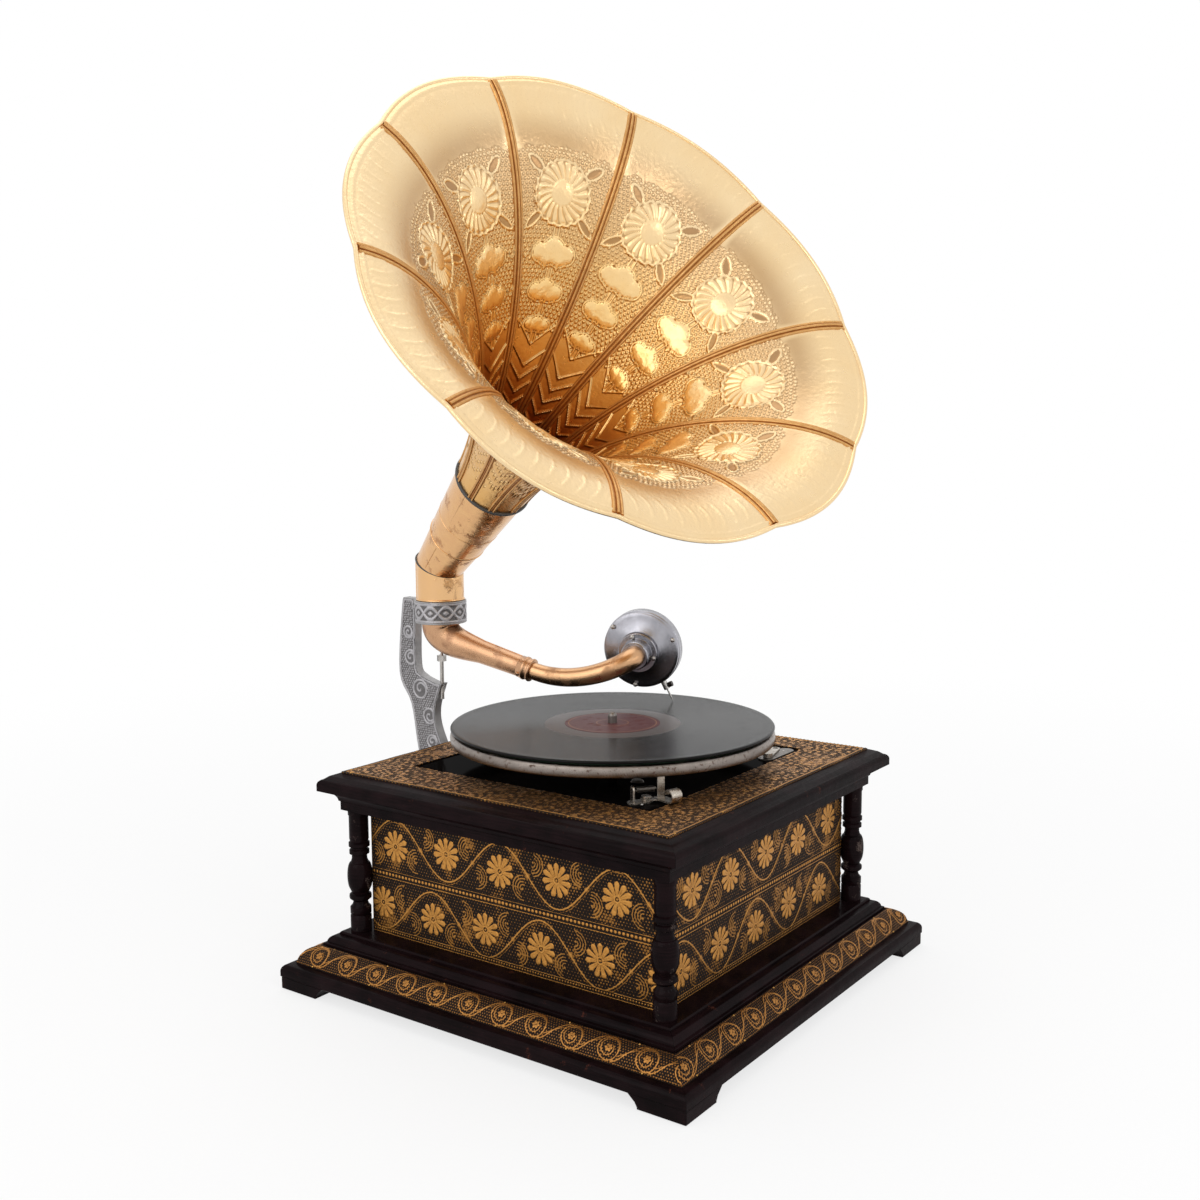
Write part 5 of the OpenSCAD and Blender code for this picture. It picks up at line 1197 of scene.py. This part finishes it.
arm_brass = tube_brass("tonearm_brass", "#b98e6c", "#cda27e", "#855840", 0.22)
goose_brass = tube_brass("gooseneck_brass", "#c09570", "#d8ac80", "#855734", 0.18)
arm_frame = moved(0, pivot_y, record_top) @ spun(-78, "Z")
slope_down = np.array([0.96502, 0, -0.26219])
collar_end = np.array([87.3, 0, 29.4])
tube_end = np.array([75.72, 0, 32.55])
bend_steps = 28
wide_r = 16.2
bend_r = 9.8


def on_arm(points):
    """Points of the arm's own frame, in the cabinet's frame."""
    return [tuple(arm_frame @ Vector(p)) for p in points]


bend_shares = np.linspace(0, 1, bend_steps + 1)
bend = bezier([(0, 0, 64), (0, 0, 50), (22.63, 0, 46.97), (40, 0, 42.25)], bend_shares)
last_shares = np.arange(1, 7) / 6
tube_line = [(0, 0, 81.5), *bend, *bezier([bend[-1], tube_end], last_shares)]
tube_radii = [wide_r, *(wide_r + (bend_r - wide_r) * bend_shares ** 1.2), *(bend_r - 0.9 * last_shares)]
tonearm = round_line("tonearm_tube", [on_arm(tube_line)], 1.0, arm_brass, 72, [tube_radii])
place_piece(tonearm, "arm", "tube_brass", "tonearm")
fold = [p + (r - 0.15) * np.array([0.26, 0, 1.0]) * min(1, i / 20)
    for i, (p, r) in enumerate(zip(tube_line, tube_radii)) if i > 14]
place_piece(round_line("tonearm_seam", [on_arm(fold)], 0.45, arm_brass, 8), "arm", "tube_brass")


def framed(frame_of):
    """A frame in millimetres, for a mesh whose points are in metres."""
    return Matrix.Scale(mm, 4) @ frame_of @ Matrix.Scale(1 / mm, 4)


collar_frame = arm_frame @ moved(*collar_end) @ spun(105.2, "Y")
collar = lathe("arm_collar", [
    (7.36, -12), (9.1, -12), (9.3, -11.7), (9.3, -8.4), (9.9, -7.6), (10.0, -6.5), (9.7, -5.4), (9.2, -4.8),
    (9.2, -2.6), (9.8, -2.0), (9.9, -1.1), (9.6, -0.3), (9.2, 0), (7.36, 0)], arm_brass, 96, 40,
    framed(collar_frame))
place_piece(collar, "arm", "tube_brass", "arm_collar")
screw_turn = math.radians(-60)
screw_side = Vector((math.cos(screw_turn), math.sin(screw_turn), 0))
screw_head = [(0.01, -0.6), (1.9, -0.6), (1.9, 0.9), (1.6, 1.3), (0.01, 1.4)]
collar_screw = studs("collar_screw", [collar_frame @ (screw_side * 9.2 + Vector((0, 0, -9.6)))],
    [collar_frame.to_3x3() @ screw_side], screw_head, arm_brass, 24)
place_piece(collar_screw, "arm", "tube_brass")

neck_mouth = np.array([170.22, 20.70, 43.43])
box_axis = np.array([-0.0865, 0.9888, 0.1219])
goose_corners = [
    collar_end + 2 * slope_down, collar_end + 45 * slope_down, neck_mouth - 24 * box_axis, neck_mouth]
goose_shares = np.linspace(0, 1, 41)
goose_line = [collar_end - 24 * slope_down, *bezier(goose_corners, goose_shares), neck_mouth + 11 * box_axis]
goose_radii = [7.3, *(7.3 + 1.7 * goose_shares), 9.0]
gooseneck = round_line("gooseneck_tube", [on_arm(goose_line)], 1.0, goose_brass, 64, [goose_radii])
place_piece(gooseneck, "soundbox", "tube_brass", "gooseneck")


# Sound box: a chromed cup and ring that clamp a mica disc between two rubber rings.
# The cup's flange takes the gooseneck; its screws are steel, and its back is worn to grey.

chrome = metal("worn_chrome", "#7f7e84", "#bcbbc1", 0.12, "#6b655f", 0.0, 0.10)
needle_steel = metal("needle_steel", "#a9a6a2", "#d6d3cf", 0.18, "#4a3a30", 0.02)
blued = metal("blued_screw", "#2b2522", "#45403c", 0.30, "#1c1715", 0.02)
rubber = cloth("red_rubber", "#2a2423", "#3a302d", 1.2, 0.15)
box_frame = arm_frame @ moved(167.9, 47.2, 46.7) @ spun(95, "Z") @ spun(83, "Y") @ spun(-25, "Z")
box_place = framed(box_frame)
cup = lathe("soundbox_cup", [
    (6, -14), (17, -14), (17.4, -12.8), (20, -11.4), (23.4, -10.2), (26.5, -9.2), (29.2, -8.6), (31.3, -8.1),
    (32.2, -7.6), (32.5, -6.8), (32.5, -5.2), (32.3, -5), (28.5, -5), (28.5, -2), (25.5, -2), (25.5, -6),
    (16, -10), (6, -11)], chrome, 144, 30, box_place)
place_piece(cup, "soundbox", "chrome", "soundbox_back")
hub = lathe("soundbox_hub", [
    (9.1, -26.8), (11.0, -26.8), (11.5, -26.4), (11.9, -25.6), (11.9, -20.2), (12.2, -19.4), (12.4, -18.6),
    (12.4, -17.6), (12.7, -17.4), (16.2, -17.4), (16.9, -16.9), (17, -16.2), (17, -14.8), (9.1, -14.8)],
    chrome, 112, 30, box_place)
place_piece(hub, "soundbox", "chrome", "soundbox_flange")
front_ring = lathe("soundbox_front_ring", [
    (28.52, -5), (32.3, -5), (32.5, -4.8), (33, -4), (33, 3.5), (32.6, 4.3), (32, 4.6), (26.2, 4.6),
    (25.5, 4.0), (25.5, 2.3), (28.52, 2.3)], chrome, 144, 30, box_place)
place_piece(front_ring, "soundbox", "chrome")
for name, side in (("left", -1), ("right", 1)):
    levels = []
    for z, inset in ((4.4, 0), (8.2, 0), (9.0, 0.5)):
        near, far = 27.1 + inset, 31.9 - inset
        low, high = side * (3.4 + inset * 0.3), side * (5.4 - inset * 0.3)
        levels.append([(near, low, z), (far, low, z), (far, high, z), (near, high, z)])
    ear = stacked(f"soundbox_ear_{name}", levels, chrome)
    ear.data.transform(box_place)
    place_piece(ear, "soundbox", "chrome", "soundbox_ring")
mica = Finish("mica")
flake = mica.cloud(0.12, 5)
mica_tone = mica.mix(flake, "#b9b19c", "#d8d2c0")
paint_node(mica.done(mica_tone, 0.12 + 0.15 * flake, flake, 0.1, Coat_Weight=0.6 + 0.3 * flake), "diaphragm")
paint_node(rubber, "gaskets")
paint_node(bright_steel, "soundbox_screws")
cap_places = []
for k in range(3):
    for far, level, turn in ((30.3, -9.9, 35), (14.4, -18.5, 70)):
        angle = math.radians(turn + 120 * k)
        cap_places.append(box_frame @ Vector((far * math.cos(angle), far * math.sin(angle), level)))
cap_facing = box_frame.to_3x3() @ Vector((0, 0, -1))
cap = [(0.01, -0.6), (1.95, -0.6), (1.95, 0), (1.6, 0.45), (0.9, 0.72), (0.01, 0.8)]
caps = studs("soundbox_screw_caps", cap_places, [cap_facing] * len(cap_places), cap, bright_steel, 24)
place_piece(caps, "soundbox", "hardware_steel")
eased_node("stylus_bar", "finished", needle_steel, 0.2, "stylus", "chrome")
paint_node(needle_steel, "needle")
eased_node("needle_screw", "finished", blued, 0.12, "needle_clamp", "dark_steel")


# Motor: a double-plate clockwork that hangs from the board, with a spring barrel, two wheels,
# a governor and its worm, and a winding gear. The wheels are brass and the plates are steel.

motor_brass = metal("motor_brass", "#a37a35", "#cfa556", 0.25, "#6b4a1f", 0.06)
motor_steel = metal("motor_steel", "#767470", "#a09d98", 0.30, "#55402f", 0.08)
motor_spring = metal("mainspring_steel", "#4b535b", "#6f7880", 0.25, "#33261c", 0.04)
paint_node(motor_brass, "second_wheel", "governor", "spring_barrel")
paint_node(motor_steel, "motor_plates", "motor_posts", "governor_brackets")
paint_node(motor_steel, "click", "winding_shaft", "barrel_arbor")
paint_node(motor_spring, "mainspring")


# Winding crank: a bent steel bar with a turned wooden knob, held in a bush in the right wall.
# The bar is nickelled; the knob is stained black like the cabinet and turns on its pin.

paint_node(bright_steel, "crank_bush")
eased_node("crank", "finished", nickel, 0.5, "winding_crank", "hardware_steel")
knob_wood = lacquer("knob_wood", "#1a100d", "#33201a", "#6b4332", 0.24)
eased_node("crank_knob", "finished", knob_wood, 0.5, "knob", "knob_wood")


# Horn petals: ten leaves of thin brass, each pressed in a die, flared and scalloped at the rim.
# Each shows a daisy with leaves, three cloud shapes on a stem and a punched ground. Its colour
# is pale gold near the rim and a darker, orange brass in the throat, which is painted shade.

elbow_z = 313.0
horn_turned = math.radians(-109.8)
horn_len = 343.7
neck_len = 123.0
throat_r = 29.0
mouth_r = 190.0
petals = 10
petal_bulge = 5.0
petal_step = 2 * math.pi / petals
seam_phase = math.radians(29.8)
sheet_thick = 1.2
line_knee = 162.6 * np.array([math.cos(math.radians(39.5)), 0, math.sin(math.radians(39.5))])
line_end = line_knee + 181.1 * np.array([math.cos(math.radians(35.1)), 0, math.sin(math.radians(35.1))])
rim_lean = math.radians(86.1)
rim_reach = 68
before_rim = (horn_len - rim_reach * math.cos(rim_lean), mouth_r - rim_reach * math.sin(rim_lean))
flare = [(neck_len, throat_r), (neck_len + 109, 36.0), before_rim, (horn_len, mouth_r)]
horn_frame = np.array(Matrix.Rotation(horn_turned, 3, "Z")).T


def from_horn(points):
    """Points of the horn's own frame, whose start is its elbow, in the cabinet's frame."""
    return np.asarray(points) @ horn_frame + np.array([0, pivot_y, elbow_z])


def middle_line(share):
    """The horn's middle line at a share of its length: the place and the direction."""
    ahead = bezier([line_knee, line_end - line_knee], share)
    place = bezier([np.zeros(3), line_knee, line_end], share)
    return place, ahead / np.linalg.norm(ahead, axis=-1, keepdims=True)


def round_side(angle, ahead):
    """The direction from a tube's middle line to its wall, at an angle round it."""
    above = np.stack([-ahead[..., 2], 0 * ahead[..., 0], ahead[..., 0]], -1)
    return np.cos(angle)[..., None] * np.array([0, 1.0, 0]) + np.sin(angle)[..., None] * above


def flare_side(w):
    d = bezier(flare, np.minimum(w + 0.01, 1)) - bezier(flare, np.maximum(w - 0.01, 0))
    d = d / np.linalg.norm(d, axis=-1, keepdims=True)
    return np.stack([-d[..., 1], d[..., 0]], -1)


def horn_place(w, angle, depth=0.0):
    """A point of the horn's sheet: share of the flare, angle round it, depth behind the inner face."""
    w, angle, depth = np.broadcast_arrays(np.asarray(w, float), angle, depth)
    p = bezier(flare, w) + depth[..., None] * flare_side(w)
    lobe = 1 + petal_bulge / mouth_r * np.abs(np.sin(petals / 2 * (angle - seam_phase))) * w ** 2
    centre, ahead = middle_line(p[..., 0] / horn_len)
    return from_horn(centre + (p[..., 1] * lobe)[..., None] * round_side(angle, ahead))


flare_shares = np.linspace(0, 1, 1201)
flare_steps = np.linalg.norm(np.diff(bezier(flare, flare_shares), axis=0), axis=1)
flare_run = np.concatenate([[0], np.cumsum(flare_steps)])
petal_len = flare_run[-1]


def share_at(from_rim):
    """The share of the flare at a distance from the rim, measured along the petal."""
    return np.interp(petal_len - from_rim, flare_run, flare_shares)


daisy_u = 78.0
stem_u = (101, 186)
leaf_ends = ((57.0, 27.5), (99.5, 24.0))
clouds = ((119.0, 12.2), (146.5, 9.8), (171.5, 7.2))


def petal_pattern(u, v, half):
    """Height of the embossing in millimetres at a distance from the rim and from the middle."""
    aside = np.abs(v)
    edge = half - aside
    top = 45.5 + 2.6 * np.abs(np.sin(v / 5.2)) + 5.0 * np.exp(-edge / 9.0)
    low = 187.0 - 1.15 * aside
    field = np.clip((u - top) / 1.2, 0, 1) * np.clip((low - u) / 1.2, 0, 1) * np.clip(edge - 2.4, 0, 1)
    height = stipple(v, u, 3.5, 1.32, 0.16) * 0.8 * field

    def cover(shape_height, shade):
        return np.where(shade > 0, np.maximum(shape_height, height * (1 - np.clip(shade * 2, 0, 1))), height)

    # four leaves that point away from the daisy
    for end_u, end_v in leaf_ends:
        for side in (-1, 1):
            reach = math.hypot(end_u - daisy_u, end_v)
            along = ((u - daisy_u) * (end_u - daisy_u) + v * side * end_v) / reach
            across = np.abs(v * side * (end_u - daisy_u) - (u - daisy_u) * end_v) / reach
            start = np.clip((along - 20) / (reach - 20), 0, 1)
            wide = 5.6 * np.sqrt(start) * np.sqrt(np.clip((reach + 5 - along) / 12.0, 0, 1))
            shade = (wide - across) * (along > 20) * (edge > 2.5)
            height = cover(0.35 + 0.9 * hills(wide - across - 0.8, 0.9), shade)

    # the daisy: swirled ribs between a domed heart and a scalloped border
    far = np.hypot(u - daisy_u, v)
    angle = np.arctan2(v, u - daisy_u)
    outer = 23.0 + 0.55 * np.cos(20 * angle)
    ribs = (0.5 + 0.5 * np.cos(20 * angle + 0.34 * (far - 9))) ** 0.8
    ribs = ribs * np.clip((far - 8.4) / 1.5, 0, 1) * np.clip((21.0 - far) / 2.0, 0, 1)
    flower = 0.5 + 1.05 * ribs + hills(far - outer + 0.6, 1.1)
    flower = np.where(far < 8.2, 0.7 + 1.3 * hills(far, 8.4), flower)
    height = cover(np.maximum(flower, 1.5 * hills(far - 8.0, 0.9)), outer - far)

    # the stem in two lines, and three clouds with wings that reach the seams
    on_stem = (aside < 3.2) & (u > stem_u[0]) & (u < stem_u[1])
    height = np.where(on_stem, 0.95 * hills(aside - 1.9, 0.75), height)
    for middle, size in clouds:
        cu = u - middle
        wing = cu - size * 0.30 - 0.308 * size * np.sin(aside * 7.2 / size) + (aside - size) * 0.32
        wings = hills(wing, 0.85) * (aside > size * 0.9) * (edge > 1.6)
        trough = (aside > size) & (np.abs(wing) < 1.6) & (wings <= 0)
        height = np.where(wings > 0, np.maximum(wings, height * 0.3), height)
        height = np.where(trough, height * 0.25, height)
        cloud = np.minimum.reduce([
            np.hypot(cu, aside - size * 0.85) - size * 0.52,
            np.hypot(cu + size * 0.12, v) - size * 0.72,
            np.hypot(cu - size * 0.1, aside - size * 0.4) - size * 0.62])
        height = np.where(cloud < 2.2, hills(cloud - 1.0, 0.85) * 0.9, height)
        height = np.where(cloud < 0, 1.0 + 0.6 * np.clip(-cloud / 3.2, 0, 1), height)

    # the ground ends in a raised V, and chevrons run on into the throat
    height = np.maximum(height, hills(low - u, 1.0) * (edge > 1.5))
    deep = u - 199.0 + 1.15 * aside
    chevrons = hills(np.mod(deep, 11.5) - 5.7, 1.15) * (deep > 0) * (u < 268)
    height = np.maximum(height, 1.1 * chevrons * np.clip(edge - 1.0, 0, 1))

    # thin crescents in a row along the rim, a shallow dish behind them and the rim's border
    bowed = v - 3.6 * (1 - ((u - 17.0) / 12.0) ** 2) + 2.0
    crescent = hills(bowed - np.round(bowed / 10.4) * 10.4, 0.9)
    crescent = crescent * np.clip((11.5 - np.abs(u - 17.0)) / 3, 0, 1) * (edge > 4)
    dish = 0.3 * hills(u - 34.0, 20.0) * np.clip(edge / 8, 0, 1)
    return np.maximum(np.maximum(height, 0.30 * crescent) + dish, 0.7 * hills(u - 3.0, 1.0))


def horn_brass():
    """Thin lacquered brass: pale gold with smears and scratches; painted shade makes it browner deep in the
    horn and on the relief's slopes and recesses.
    """
    finish = Finish("embossed_horn_brass", Metallic=1.0, Coat_Weight=0.12, Coat_Roughness=0.25)
    between = finish.between
    depth = finish.mark("depth")
    raised = finish.mark("raised")
    smear = finish.cloud(0.11, 6)
    scratch = between(finish.cloud(1.1, 6), 0.60, 0.74)
    # the pale, warm and throat colours follow the depth into the horn as painted shade, darkest in the throat
    pale = finish.mix(finish.cloud(0.018, 4), "#f7dfb5", "#f0cc94")
    warm = finish.mix(smear, "#ffd998", "#f2c070")
    throat = finish.mix(smear, "#b9661f", "#984a14")
    rubbed = between(raised, 0.90, 1.0) * between(depth, 0.62, 0.3)
    # the relief's slopes (outline) and its recesses are painted darker, as shade
    outline = between(raised, 0.10, 0.3) * between(raised, 0.8, 0.45) * between(depth, 0.06, 0.2)
    recess_shade = between(raised, 0.3, 0.02) * between(depth, 0.14, 0.2)
    base = finish.over(
        pale, (between(depth, 0.14, 0.5), warm), (rubbed * 0.35, pale), (between(depth, 0.60, 0.98), throat),
        (outline * 0.7, "#8a531d"), (recess_shade * 0.40, "#b0702a"), (scratch * 0.22, "#a8743a"))
    height = finish.cloud(0.35, 3) * 0.8 + smear * 0.5
    return finish.done(base, 0.23 + 0.13 * smear + 0.10 * scratch, height, 0.35)


petal_brass = horn_brass()
petal_columns = 100
seam_room = 2.25
from_rim = np.concatenate([
    np.linspace(petal_len, 201, 60), np.linspace(200, 41, 190), np.linspace(40, 0, 29)])
petal_w = share_at(from_rim)[:, None]
petal_radius = bezier(flare, petal_w[:, 0])[:, 1:]
half_step = petal_step / 2
spread = np.linspace(0, 1, petal_columns)[None, :]
for k in range(petals):
    edge_angle = seam_room / petal_radius
    from_middle = edge_angle - half_step + (petal_step - 2 * edge_angle) * spread
    angle = seam_phase + k * petal_step + half_step + from_middle
    v = from_middle * petal_radius
    u = np.broadcast_to(from_rim[:, None], v.shape)
    shape = petal_pattern(u, v + 1.3 * math.sin(k * 2.4), half_step * petal_radius)
    front = horn_place(petal_w, angle, -shape)
    back = horn_place(petal_w, angle, sheet_thick - shape * 0.8)[::2, ::2]
    points = np.concatenate([front.reshape(-1, 3), back.reshape(-1, 3)])
    front_faces = quads(np.arange(u.size).reshape(u.shape))[:, [0, 3, 2, 1]]
    back_faces = quads(u.size + np.arange(back.size // 3).reshape(back.shape[:2]))
    faces = front_faces.tolist() + back_faces.tolist()
    petal = make_mesh(f"horn_petal_{k + 1}", points, faces, petal_brass, 70)
    for mark, values, behind in (("depth", u / petal_len, 0.5), ("raised", np.clip(shape, 0, 1), 1.0)):
        mark_points(petal, mark, np.concatenate([values.ravel(), values[::2, ::2].ravel() * behind]))
    place_piece(petal, "horn", "horn_brass", "horn_petals")


# Horn seams and rim: each joint between petals is a folded seam of three fine ribs, and the
# rim is rolled over a wire. The same brass is browner there, where polish doesn't reach.

def seam_brass(name, clean, dull):
    finish = Finish(name, Metallic=1.0)
    dirt_and_shade = finish.cloud(0.25, 6)
    return finish.done(finish.mix(dirt_and_shade, clean, dull), 0.28 + 0.2 * dirt_and_shade, finish.cloud(1.5, 3), 0.12)


rib_brass = seam_brass("seam_rib_brass", "#e0b074", "#b78449")
# the bed between the ribs is painted darker than the ribs, as shade
bed_brass = seam_brass("seam_bed_brass", "#b57c44", "#915e30")
back_depth = sheet_thick + 0.25
rib_tracks = ((-2.8, 0.0), (0.0, -0.6), (2.8, 0.0), (-1.7, back_depth), (1.7, back_depth))
bed_tracks = ((-1.4, 0.35), (1.4, 0.35), (0.0, back_depth - 0.2))
seam_w = share_at(np.linspace(petal_len, 0.4, 60))
seam_radius = bezier(flare, seam_w)[:, 1]
for k in range(petals):
    middle = seam_phase + k * petal_step
    for name, thickness, finish, tracks in (
            ("rib", 1.15, rib_brass, rib_tracks), ("bed", 0.9, bed_brass, bed_tracks)):
        lines = [horn_place(seam_w, middle + aside / seam_radius, depth) for aside, depth in tracks]
        seam = round_line(f"horn_seam_{name}_{k + 1}", lines, thickness, finish, 8)
        place_piece(seam, "horn", "seam_brass", "horn_seams")

rim_angles = full_turn(240)
rim_side = round_side(rim_angles, middle_line(1.0)[1]) @ horn_frame
rim_line = horn_place(1.0, rim_angles, sheet_thick / 2) + 1.2 * rim_side
rolled = round_line("horn_rim", [rim_line], 1.6, petal_brass, 12, closed=True)
place_piece(rolled, "horn", "horn_brass", "horn_rim")


# Horn neck and socket: a neck of two lapped cones and a straight socket, rolled from brass sheet
# and soldered in a mitre. The solder is a dark grey ring where the neck takes the petals.

socket_r = 20.1
socket_low = 284.3
upward = np.array([0, 0, 1.0])
neck_top, neck_ahead = middle_line(neck_len / horn_len)
neck_run = neck_top[0] / neck_ahead[0]
mitre_z = neck_top[2] - neck_run * neck_ahead[2]
mitre_point = mitre_z * upward
mitre_normal = (neck_ahead + upward) / np.linalg.norm(neck_ahead + upward)


def tube_place(run, radius, angle, ahead):
    """A point on a straight tube that starts in the mitre, in the horn's own frame."""
    run, radius = np.broadcast_arrays(run, radius)
    return mitre_point + run[..., None] * ahead + radius[..., None] * round_side(angle, ahead)


def neck_tube(name, runs, radii, ahead, finish, cut=None):
    """A thin tube of two walls, whose end with the number of the cut lies on the mitre's plane."""
    turns = full_turn(96)
    steps = 26
    start, end = runs
    rings = []
    for wall in (0.0, sheet_thick):
        def at(run):
            radius = radii[0] + (radii[1] - radii[0]) * (run - start) / (end - start) - wall
            return tube_place(run, radius, turns, ahead)

        ends = [np.full(turns.size, float(run)) for run in runs]
        if cut is not None:
            first, last = [(at(run) - mitre_point) @ mitre_normal for run in ends]
            ends[cut] = start + (end - start) * first / (first - last)
        rings += [at(ends[0] + (ends[1] - ends[0]) * i / steps) for i in range(steps + 1)]
    index = np.arange(len(rings) * turns.size).reshape(2, steps + 1, turns.size)
    faces = [quads(part, True) for part in (index[0], index[1], index[:, 0], index[:, -1])]
    piece = make_mesh(name, from_horn(np.concatenate(rings)), np.concatenate(faces).tolist(), finish, 40)
    outward(piece)
    return piece


def neck_brass(name, clean, stained):
    finish = Finish(name, Metallic=1.0, Coat_Weight=0.1, Coat_Roughness=0.3)
    x, y, z = finish.axes()
    stain = finish.between(finish.cloud(0.075, 6) + 0.22 * finish.cloud(0.5, 5), 0.66, 0.80)
    drawn = finish.cloud(0.7, 3, place=finish.point(x * 0.25, y * 0.25, z * 0.25))
    base = finish.over(finish.mix(drawn, clean, "#e6b880"), (stain * 0.45, stained))
    return finish.done(base, 0.22 + 0.2 * stain, drawn + stain, 0.25)


cone_brass = neck_brass("neck_brass", "#d8a677", "#8a4f2e")
socket_brass = neck_brass("socket_brass", "#e4b788", "#a8743c")
neck_r = throat_r + sheet_thick
lap = 42.0
hidden = 26
socket_depth = socket_low - elbow_z - mitre_z


def cone_r(run):
    """The cone's radius at a distance from the mitre."""
    return socket_r + (neck_r - socket_r) / neck_run * run


lower_radii = (cone_r(-hidden), cone_r(lap))
lower_cone = neck_tube("horn_neck_lower", (-hidden, lap), lower_radii, neck_ahead, cone_brass, 0)
place_piece(lower_cone, "horn", "tube_brass", "horn_neck")
upper_radii = (cone_r(lap - 3) + 0.5, neck_r + 0.1)
upper_cone = neck_tube("horn_neck_upper", (lap - 3, neck_run), upper_radii, neck_ahead, cone_brass)
place_piece(upper_cone, "horn", "tube_brass", "horn_neck")
socket_radii = (socket_r, socket_r)
socket_tube = neck_tube("horn_socket_tube", (socket_depth, hidden), socket_radii, upward, socket_brass, 1)
place_piece(socket_tube, "horn", "tube_brass", "horn_socket")

solder_mix = Finish("solder", Metallic=0.8)
lumps = solder_mix.cloud(0.9, 5)
solder = solder_mix.done(solder_mix.mix(lumps, "#3a3a3c", "#6a6762"), 0.42 + 0.2 * lumps, lumps, 0.5)
ring_turns = full_turn(96)
# the elbow's solder follows the mitre, where the socket's wall meets its plane
mitre_run = -(round_side(ring_turns, upward) @ mitre_normal) * socket_r / mitre_normal[2]
for name, run, radius, ahead, thickness, finish, sides in (
        ("solder_ring", neck_run - 0.5, neck_r + 0.2, neck_ahead, 1.7, solder, 10),
        ("neck_lap_bead", lap, cone_r(lap) + 0.2, neck_ahead, 0.9, cone_brass, 10),
        ("neck_second_bead", lap + 26, cone_r(lap + 26) + 0.1, neck_ahead, 0.55, cone_brass, 10),
        ("elbow_solder", mitre_run, socket_r, upward, 0.85, solder, 8),
        ("socket_foot_bead", socket_depth + 0.9, socket_r - 0.1, upward, 0.9, socket_brass, 10)):
    line = from_horn(tube_place(run, radius, ring_turns, ahead))
    place_piece(round_line(name, [line], thickness, finish, sides, closed=True), "horn", "tube_brass")

for name, angle, runs, radii, ahead, finish in (
        ("neck_side_seam", 200, (8, neck_run), (cone_r(8), neck_r), neck_ahead, cone_brass),
        ("socket_side_seam", 152, (socket_depth + 1, 2), socket_radii, upward, socket_brass)):
    run = np.linspace(*runs, 13)
    line = tube_place(run, np.linspace(*radii, 13) - 0.15, np.full(13, math.radians(angle)), ahead)
    place_piece(round_line(name, [from_horn(line)], 0.7, finish, 8), "horn", "tube_brass")


low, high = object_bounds()
{"cad": [list(c) for c in cad_box], "visual": [list(low), list(high)]}
